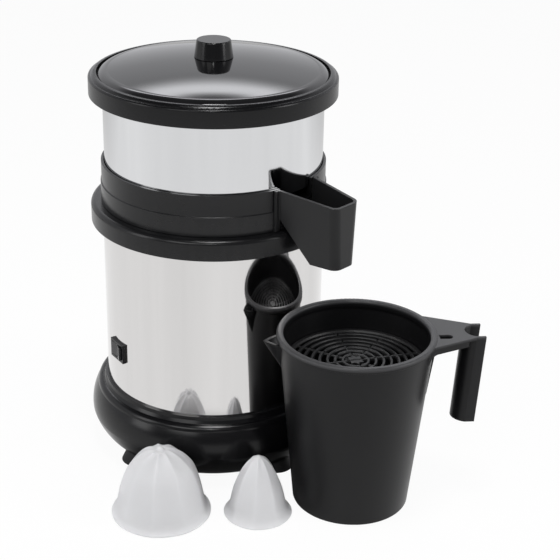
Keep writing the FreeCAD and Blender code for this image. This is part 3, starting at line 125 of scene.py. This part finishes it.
paper_mix = finish_step(
    paper_tree, "MixShader",
    sources={"Fac": paper_share, 1: paper_matt.outputs[0], 2: paper_glow.outputs[0]},
)
finish_step(paper_tree, "OutputMaterial", sources={"Surface": paper_mix.outputs[0]})
worktop.data.materials.append(paper)


# Studio: a pale room, dark overhead and on the camera's side, and plain white where it is seen directly.
# One wide soft panel high up behind the press shows as a light band on the lid. Soft boxes in front, above
# and at the sides light the pieces, and a small flash above the camera gives the glints on their edges.
room = bpy.data.worlds.new("pale_room")
scene.world = room
room.use_nodes = True
room_tree = room.node_tree
room_light = room_tree.nodes["Background"]
room_way = finish_step(room_tree, "TexCoord").outputs["Generated"]
room_rise = finish_step(room_tree, "SeparateXYZ", sources={0: room_way}).outputs["Z"]
room_height = finish_step(room_tree, "MapRange", {"From Min": -1}, {"Value": room_rise})
room_shade = finish_step(room_tree, "ValToRGB", sources={"Fac": room_height.outputs["Result"]})
room_tint = (0.985, 0.99, 1.025)
room_greys = {0.0: 0.9, 0.3: 0.88, 0.45: 1.0, 0.57: 0.95, 0.66: 0.45, 0.74: 0.12, 1.0: 0.08}
shade_stops = room_shade.color_ramp.elements
ready_stops = len(shade_stops)
for order, (rise, grey) in enumerate(room_greys.items()):
    place = (rise + 1) / 2
    stop = shade_stops[order] if order < ready_stops else shade_stops.new(place)
    stop.position = place
    stop.color = (*[grey * share for share in room_tint], 1)


def room_step(source, low, high, start=0, end=1):
    """A smooth step of a direction's value between two limits."""
    limits = {"From Min": low, "From Max": high, "To Min": start, "To Max": end}
    step = finish_step(room_tree, "MapRange", limits, {"Value": source}, interpolation_type="SMOOTHSTEP")
    return step.outputs["Result"]


def room_lean(axis):
    """How far a direction leans along an axis."""
    lean = finish_step(room_tree, "VectorMath", {1: axis}, {0: room_way}, operation="DOT_PRODUCT")
    return lean.outputs["Value"]


view_side = (-view_forward[1], view_forward[0], 0)
front_share = 0.25
front_start, front_end = -0.8, -0.1
panel_foot, panel_bright = 0.45, 0.62
panel_fall, panel_top = 0.61, 0.65
panel_middle = 0.05
panel_inner, panel_outer = 0.2, 0.32
panel_front, panel_back = 0.0, 0.2
panel_glow = 6.0
panel_rise = room_step(room_rise, panel_foot, panel_bright)
panel_drop = room_step(room_rise, panel_fall, panel_top, 1, 0)
panel_offset = finish_sum(room_tree, "SUBTRACT", room_lean(view_side), panel_middle)
panel_reach = finish_step(room_tree, "Math", sources={0: panel_offset}, operation="ABSOLUTE")
panel_ends = room_step(panel_reach.outputs[0], panel_inner, panel_outer, 1, 0)
panel_behind = room_step(room_lean(view_forward), panel_front, panel_back)
panel = panel_rise
for share in (panel_rise, panel_drop, panel_ends, panel_behind, panel_glow):
    panel = finish_sum(room_tree, "MULTIPLY", panel, share)
front_level = room_step(room_lean(view_forward), front_start, front_end, front_share, 1)
room_level = finish_sum(room_tree, "ADD", panel, front_level)
room_tree.links.new(room_shade.outputs["Color"], room_light.inputs["Color"])
room_tree.links.new(room_level, room_light.inputs["Strength"])
room_plain = finish_step(room_tree, "Background", {"Color": (1, 1, 1, 1)})
room_rays = finish_step(room_tree, "LightPath")
room_mix = finish_step(
    room_tree, "MixShader",
    sources={"Fac": room_rays.outputs["Is Camera Ray"], 1: room_light.outputs[0], 2: room_plain.outputs[0]},
)
room_tree.links.new(room_mix.outputs[0], room_tree.nodes["World Output"].inputs["Surface"])
light_aim = Vector((0, -0.05, 0.18))


def light_box(name, place, width, height, watts):
    """A flat soft light at a place in metres, turned towards the middle of the press."""
    lamp = bpy.data.lights.new(name, "AREA")
    lamp.shape = "RECTANGLE"
    lamp.size = width
    lamp.size_y = height
    lamp.energy = watts
    box = bpy.data.objects.new(name, lamp)
    box.location = place
    box.rotation_euler = (light_aim - box.location).to_track_quat("-Z", "Y").to_euler()
    scene.collection.objects.link(box)


light_box("front_box", (-1.9, -0.5, 1.4), width=1.0, height=1.0, watts=11)
light_box("top_box", (-0.25, -0.25, 1.6), width=0.3, height=0.3, watts=9)
light_box("flash", (-1.35, -1.2, 1.6), width=0.22, height=0.22, watts=6)
light_box("left_box", (-1.7, 0.75, 0.9), width=0.6, height=1.3, watts=7)
light_box("right_box", (0.75, -1.8, 0.9), width=0.6, height=1.3, watts=14)


# Camera: at the photograph's place, with a long lens, a little above the press and tipped down to it.
# Nothing of it belongs to the object.
camera_place = (-0.8086, -0.7979, 0.6633)
view_drop = math.radians(24.31)
view_roll = math.radians(1.18)
right_angle = math.pi / 2
lens_length, film_width = 90.2, 36
nearest_view = 0.05
camera_lens = bpy.data.cameras.new("photo_camera")
camera_lens.lens = lens_length
camera_lens.sensor_width = film_width
camera_lens.clip_start = nearest_view
camera = bpy.data.objects.new("photo_camera", camera_lens)
camera.matrix_world = (
    Matrix.Translation(camera_place)
    @ Matrix.Rotation(view_turn - right_angle, 4, "Z")
    @ Matrix.Rotation(right_angle - view_drop, 4, "X")
    @ Matrix.Rotation(view_roll, 4, "Z")
)
scene.collection.objects.link(camera)
scene.camera = camera


# Rubber feet: four flared black feet under the base that keep it from sliding and damp the motor.
# Each is moulded in one go from soft rubber, dull and a little dusty, with a recess for its screw.
blue_cast = 0.0005
tone_low, tone_high = 0.3, 0.7
cloud_scale, cloud_detail = 22, 6
pit_scale, pit_detail, pit_depth = 1400, 2, 0.00008
rub_start, rub_end, rub_most = 0.53, 0.62, 0.35
rub_gain, rub_lift = 2, 0.01
plastic_spread = 0.15


def black(level):
    """A black of one level, with the faint blue cast that the press's plastics and rubbers share."""
    return (level, level, level + blue_cast)


def drifting_tone(tree, noise, colour, drift):
    """A colour that drifts a little darker and lighter with a noise."""
    tone = finish_step(tree, "ValToRGB", sources={"Fac": noise})
    shares = {tone_low: 1 - drift, tone_high: 1 + drift}
    for stop, (place, share) in zip(tone.color_ramp.elements, shares.items()):
        stop.position = place
        stop.color = (*[min(part * share, 1) for part in colour], 1)
    return tone.outputs["Color"]


def drifting_gloss(tree, noise, roughness, spread):
    """A roughness that drifts a little either way with a noise."""
    limits = {"To Min": roughness * (1 - spread), "To Max": min(roughness * (1 + spread), 1)}
    return finish_step(tree, "MapRange", limits, {"Value": noise}).outputs["Result"]


def moulded(name, colour, roughness, specular, grain=0.25, drift=0.12, edge=0.0004):
    """Moulded plastic or rubber: uneven colour, a fine mould grain, eased edges that are rubbed lighter."""
    material = bpy.data.materials.new(name)
    material.use_nodes = True
    tree = material.node_tree
    shader = tree.nodes["Principled BSDF"]
    shader.inputs["Specular IOR Level"].default_value = specular
    where = finish_step(tree, "TexCoord").outputs["Object"]
    cloud = finish_step(tree, "TexNoise", {"Scale": cloud_scale, "Detail": cloud_detail}, {"Vector": where})
    pits = finish_step(tree, "TexNoise", {"Scale": pit_scale, "Detail": pit_detail}, {"Vector": where})
    rub = finish_step(
        tree, "MapRange",
        {"From Min": rub_start, "From Max": rub_end, "To Max": rub_most},
        {"Value": finish_step(tree, "NewGeometry").outputs["Pointiness"]},
    )
    rubbed = finish_step(
        tree, "Mix",
        {"B": (*[min(part * rub_gain + rub_lift, 1) for part in colour], 1)},
        {"Factor": rub.outputs["Result"], "A": drifting_tone(tree, cloud.outputs["Fac"], colour, drift)},
        data_type="RGBA",
    )
    eased = finish_step(tree, "Bevel", {"Radius": edge})
    relief = finish_step(
        tree, "Bump",
        {"Strength": grain, "Distance": pit_depth},
        {"Height": pits.outputs["Fac"], "Normal": eased.outputs["Normal"]},
    )
    gloss = drifting_gloss(tree, cloud.outputs["Fac"], roughness, plastic_spread)
    tree.links.new(rubbed.outputs["Result"], shader.inputs["Base Color"])
    tree.links.new(gloss, shader.inputs["Roughness"])
    tree.links.new(relief.outputs["Normal"], shader.inputs["Normal"])
    return material


def dress(node, material):
    """Gives a solid of the frame its finish."""
    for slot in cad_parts[node].material_slots:
        slot.material = material


foot_rubber = moulded("foot_rubber", black(0.011), roughness=0.6, specular=0.25, grain=0.5)
dress("rubber_feet", foot_rubber)


# Foot screws: one pan-head screw up through each foot into the floor of the base.
# Turned from mild steel and zinc plated, a pale grey with a faint warm tint.
streak_scale, streak_detail = 1, 5
ridge_height = 0.00005
metal_spread = 0.3


def metal(name, colour, roughness, grain_scale, grain=0.05, drift=0.06):
    """Metal with a drawn or rolled grain: streaks that run the way the grain scale is smallest."""
    material = bpy.data.materials.new(name)
    material.use_nodes = True
    tree = material.node_tree
    shader = tree.nodes["Principled BSDF"]
    shader.inputs["Metallic"].default_value = 1
    where = finish_step(tree, "TexCoord").outputs["Object"]
    stretch = finish_step(tree, "Mapping", {"Scale": grain_scale}, {"Vector": where})
    streak = finish_step(
        tree, "TexNoise",
        {"Scale": streak_scale, "Detail": streak_detail},
        {"Vector": stretch.outputs["Vector"]},
    ).outputs["Fac"]
    relief = finish_step(tree, "Bump", {"Strength": grain, "Distance": ridge_height}, {"Height": streak})
    tree.links.new(drifting_tone(tree, streak, colour, drift), shader.inputs["Base Color"])
    tree.links.new(drifting_gloss(tree, streak, roughness, metal_spread), shader.inputs["Roughness"])
    tree.links.new(relief.outputs["Normal"], shader.inputs["Normal"])
    return material


zinc_plate = metal("zinc_plate", (0.62, 0.61, 0.56), roughness=0.32, grain_scale=(400, 400, 400))
dress("foot_screws", zinc_plate)


# Base shell: the deep round foot of the press, with a rolled shoulder and a lip round the steel tube.
# One glossy black moulding with air slots in its floor, clamped to the deck by long rods inside.
base_gloss = moulded("base_gloss", black(0.003), roughness=0.21, specular=0.28, grain=0.04)
dress("base_shell", base_gloss)


# Cord gland: a short ribless bush pressed into the back of the base, where the mains lead goes in.
# It is moulded in satin black plastic, a little duller than the base round it.
gland_satin = moulded("gland_satin", black(0.0075), roughness=0.42, specular=0.24)
dress("cord_gland", gland_satin)


# Tie rods: four long steel rods that pull the deck, tube and base together from below.
# Drawn bar with a rolled thread at each end and zinc plating; their heads sit in the base's recesses.
dress("tie_rods", zinc_plate)


# Capacitor: the motor's start capacitor, standing on the floor of the base beside the motor.
# A drawn aluminium can, brushed round by the drawing die.
can_alloy = metal("can_alloy", (0.72, 0.72, 0.73), roughness=0.3, grain_scale=(40, 40, 700))
dress("capacitor", can_alloy)


# Capacitor clip: an open collar that holds the can upright on the base's floor.
# Moulded in the same plain satin black as other inside fittings.
dress("capacitor_clip", gland_satin)


# Terminal block: the pale bar where the mains lead meets the switch and motor wires.
# Moulded in unfilled nylon, slightly yellow, and fixed to the floor of the base.
block_nylon = moulded("block_nylon", (0.6, 0.59, 0.55), roughness=0.45, specular=0.4)
dress("terminal_block", block_nylon)


# Motor end covers: two die-cast cups that close the motor above and below and hold its bearings.
# Cast aluminium, grainy and grey, faced only where the stator and bearings seat.
cast_alloy = metal("cast_alloy", (0.55, 0.55, 0.56), roughness=0.55, grain_scale=(300, 300, 300), grain=0.3)
for cover in ("upper_endbell", "lower_endbell"):
    dress(cover, cast_alloy)


# Bearings: two shielded ball bearings pressed into the end covers.
# Ground bearing steel with a fine turned grain round the rings.
ground_steel = metal("ground_steel", (0.66, 0.66, 0.68), roughness=0.22, grain_scale=(60, 60, 900))
for bearing in ("upper_bearing", "lower_bearing"):
    dress(bearing, ground_steel)


# Stator: the motor's fixed stack of thin slotted steel sheets between the end covers.
# The sheet edges show as fine level lines in dark grey steel.
sheet_stack = metal("sheet_stack", (0.25, 0.25, 0.26), roughness=0.5, grain_scale=(20, 20, 1800), grain=0.4)
dress("stator", sheet_stack)


# Windings: the copper coils that fill the stator's slots and bulge above and below it.
# Enamelled copper wire, baked in varnish to a warm brown.
winding_copper = metal(
    "winding_copper", (0.62, 0.27, 0.11), roughness=0.38, grain_scale=(900, 900, 900), grain=0.5,
)
dress("windings", winding_copper)


# Rotor: the turning stack of steel sheets, pressed on the shaft inside the stator.
# The same dark sheet steel as the stator, turned true on its outside.
dress("rotor", sheet_stack)


# Motor shaft: the upright steel spindle that runs in both bearings and comes up through the deck.
# Ground bar, stepped for the rotor, the bearings and the drive hub.
dress("motor_shaft", ground_steel)


# Cooling fan: a bladed disc on the shaft below the motor that draws air in through the base's slots.
# Moulded in plain satin black plastic.
dress("cooling_fan", gland_satin)


# Motor bolts: four long bolts that clamp the end covers on the stator and hang the motor from the deck.
# Zinc-plated steel like the other fasteners.
dress("motor_bolts", zinc_plate)


# Shaft seal: a lip seal in the deck that keeps juice out of the motor.
# Black nitrile rubber, the same dull finish as the feet.
dress("shaft_seal", foot_rubber)


# Body tube: the upright housing between base and deck, rolled from stainless sheet and polished.
# It is close to a mirror, with faint upright bands in its gloss and the same bands painted into its colour as
# painted reflection.
mirror_steel = metal(
    "mirror_steel", (0.665, 0.655, 0.65), roughness=0.06, grain_scale=(38, 38, 1.5), grain=0.012, drift=0.045,
)
dress("body_tube", mirror_steel)


# Switch bezel: the square collar of the mains switch, snapped into a window in the tube.
# Moulded in black plastic with a soft gloss and eased corners.
switch_gloss = moulded("switch_gloss", black(0.004), roughness=0.24, specular=0.24, grain=0.06, edge=0.0006)
dress("switch_bezel", switch_gloss)


# Switch rocker: the bent paddle that tips in the bezel about an upright pin.
# The same plastic as the bezel, polished brighter by fingers.
rocker_gloss = moulded("rocker_gloss", black(0.004), roughness=0.16, specular=0.36, grain=0.03, edge=0.0006)
dress("switch_rocker", rocker_gloss)


# Switch terminals: three flat tabs behind the bezel, inside the tube.
# Stamped from brass sheet.
bright_brass = metal("bright_brass", (0.72, 0.53, 0.22), roughness=0.28, grain_scale=(300, 300, 60))
dress("switch_terminals", bright_brass)


# Deck: the thick black disc that closes the tube and carries the motor below and the bowl above.
# Moulded with a rounded rim, satin and a little shinier than the bowl.
deck_satin = moulded("deck_satin", black(0.005), roughness=0.24, specular=0.27, grain=0.12)
dress("body_deck", deck_satin)


# Drive hub: the six-sided peg on top of the shaft that a reamer's socket drops over.
# Zinc-plated steel, held by a cross pin.
dress("drive_hub", zinc_plate)


# Drive pin: the short pin through the hub and the shaft.
# Ground steel, pressed in.
dress("drive_pin", ground_steel)


# Juice bowl: the shallow bowl on the deck that catches the juice, with a stepped collar for the splash ring.
# Satin black food plastic, lifted off by hand.
bowl_satin = moulded("bowl_satin", black(0.0055), roughness=0.26, specular=0.29, grain=0.12)
dress("juice_bowl", bowl_satin)


# Juice chute: the open spout clipped to the bowl's collar, narrowing to a slanted mouth over the jug.
# Moulded in the bowl's plastic with walls of even thickness and rounded corners.
chute_satin = moulded("chute_satin", black(0.0075), roughness=0.36, specular=0.28, grain=0.18, edge=0.0008)
dress("juice_chute", chute_satin)


# Splash ring: the plain hoop that stands in the bowl's collar and keeps spray in.
# Polished stainless sheet like the tube, a shade cooler, rolled and welded.
# Its colour drifts in faint upright bands, a painted reflection like the tube's, with the same bands in its
# gloss.
ring_steel = metal(
    "ring_steel", (0.66, 0.665, 0.675), roughness=0.06, grain_scale=(30, 30, 1.5), grain=0.012, drift=0.06,
)
dress("splash_ring", ring_steel)


# Lid rim: the black hoop round the edge of the lid that drops over the splash ring.
# Satin plastic with a crowned top edge that catches the light.
rim_satin = moulded("rim_satin", black(0.003), roughness=0.22, specular=0.22, grain=0.08)
dress("lid_rim", rim_satin)


# Lid dome: the low domed cap let into the rim.
# Black plastic moulded to a high gloss, so that it mirrors the room.
dome_gloss = moulded("dome_gloss", black(0.006), roughness=0.055, specular=0.5, grain=0.0, drift=0.2)
dress("lid_dome", dome_gloss)


# Lid knob: the tapered grip in the middle of the lid, hollow underneath.
# Glossy black plastic, held by a screw from below.
knob_gloss = moulded("knob_gloss", black(0.003), roughness=0.12, specular=0.3, grain=0.04, edge=0.0006)
dress("lid_knob", knob_gloss)


# Knob screw: the screw up through the dome into the knob.
# Zinc-plated steel.
dress("knob_screw", zinc_plate)


# Jug: the tapered jug under the chute, with a beak, a flat arm and an open-backed grip.
# One moulding in dark satin black, with a slim bead round its mouth that is painted paler as a painted
# highlight.
lip_highlight_start, lip_highlight_end = 0.977, 0.992
lip_highlight_grey = (0.05, 0.05, 0.052, 1)
jug_satin = moulded("jug_satin", black(0.005), roughness=0.36, specular=0.23, grain=0.2, edge=0.0008)
jug_tree = jug_satin.node_tree
jug_colour = jug_tree.nodes["Principled BSDF"].inputs["Base Color"]
jug_place = finish_step(jug_tree, "TexCoord").outputs["Generated"]
jug_rise = finish_step(jug_tree, "SeparateXYZ", sources={0: jug_place}).outputs["Z"]
# Painted highlight: a band at the top of the jug, over the bead, is mixed towards a paler grey.
jug_lip_highlight = finish_step(jug_tree, "MapRange", {"From Min": lip_highlight_start, "From Max": lip_highlight_end}, {"Value": jug_rise})
jug_highlighted = finish_step(
    jug_tree, "Mix",
    {"B": lip_highlight_grey},
    {"Factor": jug_lip_highlight.outputs["Result"], "A": jug_colour.links[0].from_socket},
    data_type="RGBA",
)
jug_tree.links.new(jug_highlighted.outputs["Result"], jug_colour)
dress("jug", jug_satin)


# Jug strainer: a round grid that rests inside the jug's mouth and holds back pips.
# Moulded in the jug's plastic: rings with rounded tops and staggered breaks on thin spokes,
# one long bar across and a small star where the spokes meet.
strainer_low, strainer_high = [Vector(corner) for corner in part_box("jug_strainer")]
strainer_middle = (strainer_low + strainer_high) / 2
strainer_radius = (strainer_high.x - strainer_low.x) / 2
strainer_depth = strainer_high.z - strainer_low.z
first_ring = 0.0106
ring_pitch = 0.00635
ring_width = 0.0028
ring_count = 7
ring_break = 0.0016
ring_ease = 0.6
rim_width = 0.0050
spoke_count = 8
spoke_width = 0.0026
spoke_depth = strainer_depth * 0.45
spoke_ease = 0.5
spoke_reach = strainer_radius - rim_width
bar_width = 0.0020
bar_turn = math.radians(-32)
flat_top = 0.6
hub_radius, hub_waist = 0.0078, 0.0052
arc_steps = 10
strainer_bm = bmesh.new()


def bar_section(width, low, high, ease):
    """The section of a bar, flat below and eased above, as corners of (sideways, height)."""
    half = width / 2
    top = half * flat_top
    side = high - half * ease
    return [(-half, low), (-half, side), (-top, high), (top, high), (half, side), (half, low)]


def strainer_corner(way, reach, rise):
    """A new corner of the strainer, at a reach along a way from its middle and at a height."""
    return strainer_bm.verts.new(strainer_middle + way * reach + Vector((0, 0, rise - strainer_middle.z)))


def skin(bm, rows):
    """Faces from each row of corners to the next."""
    for here, there in zip(rows, rows[1:]):
        for corner in range(len(here)):
            after = (corner + 1) % len(here)
            bm.faces.new((here[corner], there[corner], there[after], here[after]))


def close_ends(bm, rows):
    """A face over the first and the last row of corners."""
    bm.faces.new(rows[0])
    bm.faces.new(reversed(rows[-1]))


def bent_bar(radius, width, start, end, steps):
    """A bar with a rounded top that follows an arc about the strainer's middle, or a whole ring."""
    closed = end - start >= math.tau
    section = bar_section(width, strainer_low.z, strainer_high.z, ring_ease)
    rows = []
    for step in range(steps if closed else steps + 1):
        turn = start + (end - start) * step / steps
        way = Vector((math.cos(turn), math.sin(turn), 0))
        rows.append([strainer_corner(way, radius + out, rise) for out, rise in section])
    if closed:
        rows.append(rows[0])
    skin(strainer_bm, rows)
    if not closed:
        close_ends(strainer_bm, rows)


def straight_bar(width, high, turn):
    """A straight bar with eased top edges that runs through the strainer's middle."""
    way = Vector((math.cos(turn), math.sin(turn), 0))
    across = Vector((-way.y, way.x, 0))
    rows = []
    for reach in (-spoke_reach, spoke_reach):
        row = []
        for out, rise in bar_section(width, strainer_low.z, high, spoke_ease):
            corner = strainer_corner(way, reach, rise)
            corner.co += across * out
            row.append(corner)
        rows.append(row)
    skin(strainer_bm, rows)
    close_ends(strainer_bm, rows)


def new_piece(name, bm, material):
    """A new piece of the scene from its finished faces and its finish."""
    bmesh.ops.recalc_face_normals(bm, faces=bm.faces)
    mesh = bpy.data.meshes.new(name)
    bm.to_mesh(mesh)
    bm.free()
    mesh.materials.append(material)
    piece = bpy.data.objects.new(name, mesh)
    scene.collection.objects.link(piece)
    return piece


spoke_step = math.tau / spoke_count
spoke_turns = [bar_turn + spoke_step * spoke for spoke in range(spoke_count)]
for ring in range(ring_count):
    ring_radius = first_ring + ring_pitch * ring
    half_break = ring_break / ring_radius / 2
    for turn in spoke_turns[ring % 2::2]:
        bent_bar(
            ring_radius, ring_width, turn + half_break, turn + spoke_step * 2 - half_break, arc_steps * 2,
        )
bent_bar(strainer_radius - rim_width / 2, rim_width, 0, math.tau, arc_steps * spoke_count)
straight_bar(bar_width, strainer_high.z, bar_turn)
for turn in spoke_turns[1:spoke_count // 2]:
    straight_bar(spoke_width, strainer_low.z + spoke_depth, turn)
hub_rows = []
for level in (strainer_low.z, strainer_high.z):
    star = []
    for corner in range(spoke_count * 2):
        turn = bar_turn + spoke_step / 2 * corner
        way = Vector((math.cos(turn), math.sin(turn), 0))
        star.append(strainer_corner(way, hub_waist if corner % 2 else hub_radius, level))
    hub_rows.append(star)
skin(strainer_bm, hub_rows)
close_ends(strainer_bm, hub_rows)
strainer_satin = moulded(
    "strainer_satin", black(0.0085), roughness=0.4, specular=0.33, grain=0.15, edge=0.0003,
)
strainer_grid = new_piece("strainer_grid", strainer_bm, strainer_satin)
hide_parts("jug_strainer")
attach(strainer_grid, "strainer_unit")


# Large reamer: the ribbed cone for oranges and grapefruit, stood on the worktop brim down.
# Moulded in pale food plastic: sharp ribs from a small nub to a flared brim, hollow below,
# with a six-sided socket in its inner column for the drive hub. Its outlines are in millimetres.
millimetre = 0.001
column_radius = 11.0
socket_flats = 14.6
socket_foot, socket_top = 4.0, 34.0
socket_side = math.tau / 6
steps_per_rib = 16
steps_per_stretch = 5
smooth_below = math.radians(50)
reamer_white = moulded(
    "reamer_white", (0.63, 0.63, 0.64), roughness=0.42, specular=0.4, grain=0.12, drift=0.02, edge=0.0005,
)
reamer_shader = reamer_white.node_tree.nodes["Principled BSDF"]
reamer_shader.inputs["Subsurface Weight"].default_value = 0.7
reamer_shader.inputs["Subsurface Radius"].default_value = (1, 1, 1)
reamer_shader.inputs["Subsurface Scale"].default_value = 0.01


def flowing(points, steps):
    """A smooth run through points of any size, as a row of in-between points."""
    row = []
    for order in range(len(points) - 1):
        before = points[max(order - 1, 0)]
        start, end = points[order], points[order + 1]
        after = points[min(order + 2, len(points) - 1)]
        for step in range(steps):
            way = step / steps
            row.append(tuple(
                0.5 * (
                    2 * b + (c - a) * way + (2 * a - 5 * b + 4 * c - d) * way ** 2
                    + (3 * b - a - 3 * c + d) * way ** 3
                )
                for a, b, c, d in zip(before, start, end, after)
            ))
    row.append(points[-1])
    return row


def socket_reach(turn):
    """How far the six-sided socket reaches out at a turn."""
    off_flat = (turn + socket_side / 2) % socket_side - socket_side / 2
    return socket_flats / 2 / math.cos(off_flat)


def reamer(name, node, body, ribs, rib_turn, outline, hollow):
    """A ribbed reamer over its solid, from an outline of (radius, height, rib depth) and its hollow."""
    low, high = [Vector(corner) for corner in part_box(node)]
    middle = (low + high) / 2
    step_count = ribs * steps_per_rib
    turns = [math.tau * step / step_count for step in range(step_count)]
    rings = []
    for radius, height, depth in flowing(outline, steps_per_stretch)[1:]:
        flutes = [depth * abs(math.sin(ribs * (turn - rib_turn) / 2)) for turn in turns]
        rings.append((height, [radius - flute for flute in flutes]))
    for radius, height in [*hollow, (column_radius, hollow[-1][1]), (column_radius, socket_foot)]:
        rings.append((height, [radius] * step_count))
    for height in (socket_foot, socket_top):
        rings.append((height, [socket_reach(turn) for turn in turns]))
    bm = bmesh.new()
    rows = []
    for height, reaches in rings:
        row = []
        for reach, turn in zip(reaches, turns):
            row.append(bm.verts.new((
                middle.x + reach * millimetre * math.cos(turn),
                middle.y + reach * millimetre * math.sin(turn),
                low.z + height * millimetre,
            )))
        rows.append(row)
    skin(bm, rows)
    for row, height in ((rows[0], outline[0][1]), (rows[-1], socket_top)):
        tip = bm.verts.new((middle.x, middle.y, low.z + height * millimetre))
        for here, there in zip(row, row[1:] + row[:1]):
            bm.faces.new((here, there, tip))
    piece = new_piece(name, bm, reamer_white)
    piece.data.shade_smooth()
    piece.data.set_sharp_from_angle(angle=smooth_below)
    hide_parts(node)
    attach(piece, body)


large_ribs, large_turn = 9, math.radians(15.6)
large_outline = [
    (0.0, 61.4, 0.0), (1.7, 60.9, 0.0), (2.7, 59.6, 0.1), (4.4, 58.7, 0.9), (8.4, 58.7, 2.7),
    (12.4, 57.2, 2.6), (17.4, 53.8, 2.0), (22.8, 48.6, 1.6), (28.0, 41.6, 1.3), (31.2, 34.0, 1.2),
    (33.7, 26.0, 1.1), (35.3, 19.0, 1.0), (36.6, 12.5, 0.9), (37.5, 8.0, 0.8), (38.8, 4.8, 0.5),
    (40.5, 2.8, 0.3), (41.6, 1.7, 0.2), (41.6, 0.6, 0.2), (41.0, 0.0, 0.2),
]
large_hollow = [(37.6, 0.0), (34.0, 5.0), (31.2, 12.0), (27.6, 30.0), (20.0, 44.0), (11.5, 50.0)]
reamer(
    "large_reamer_cone", "large_reamer", "large_reamer_unit",
    large_ribs, large_turn, large_outline, large_hollow,
)


# Small reamer: the slim ribbed cone for lemons and limes, stood beside the large one.
# The same pale plastic and the same socket, with fewer ribs on a narrower cone.
small_ribs, small_turn = 8, math.radians(-9.1)
small_outline = [
    (0.0, 54.4, 0.0), (1.6, 54.0, 0.0), (2.6, 53.2, 0.1), (4.6, 52.2, 0.5), (7.4, 50.2, 1.1),
    (10.4, 46.6, 1.3), (13.8, 41.0, 1.3), (17.2, 33.5, 1.2), (20.4, 24.5, 1.1), (22.6, 15.0, 1.0),
    (23.8, 9.0, 0.9), (25.6, 4.8, 0.6), (27.7, 2.2, 0.4), (28.6, 1.2, 0.2), (28.6, 0.6, 0.2),
    (28.0, 0.0, 0.2),
]
small_hollow = [(24.4, 0.0), (19.0, 5.0), (17.2, 9.0), (15.4, 20.0), (12.4, 32.0), (11.4, 36.0)]
reamer(
    "small_reamer_cone", "small_reamer", "small_reamer_unit",
    small_ribs, small_turn, small_outline, small_hollow,
)
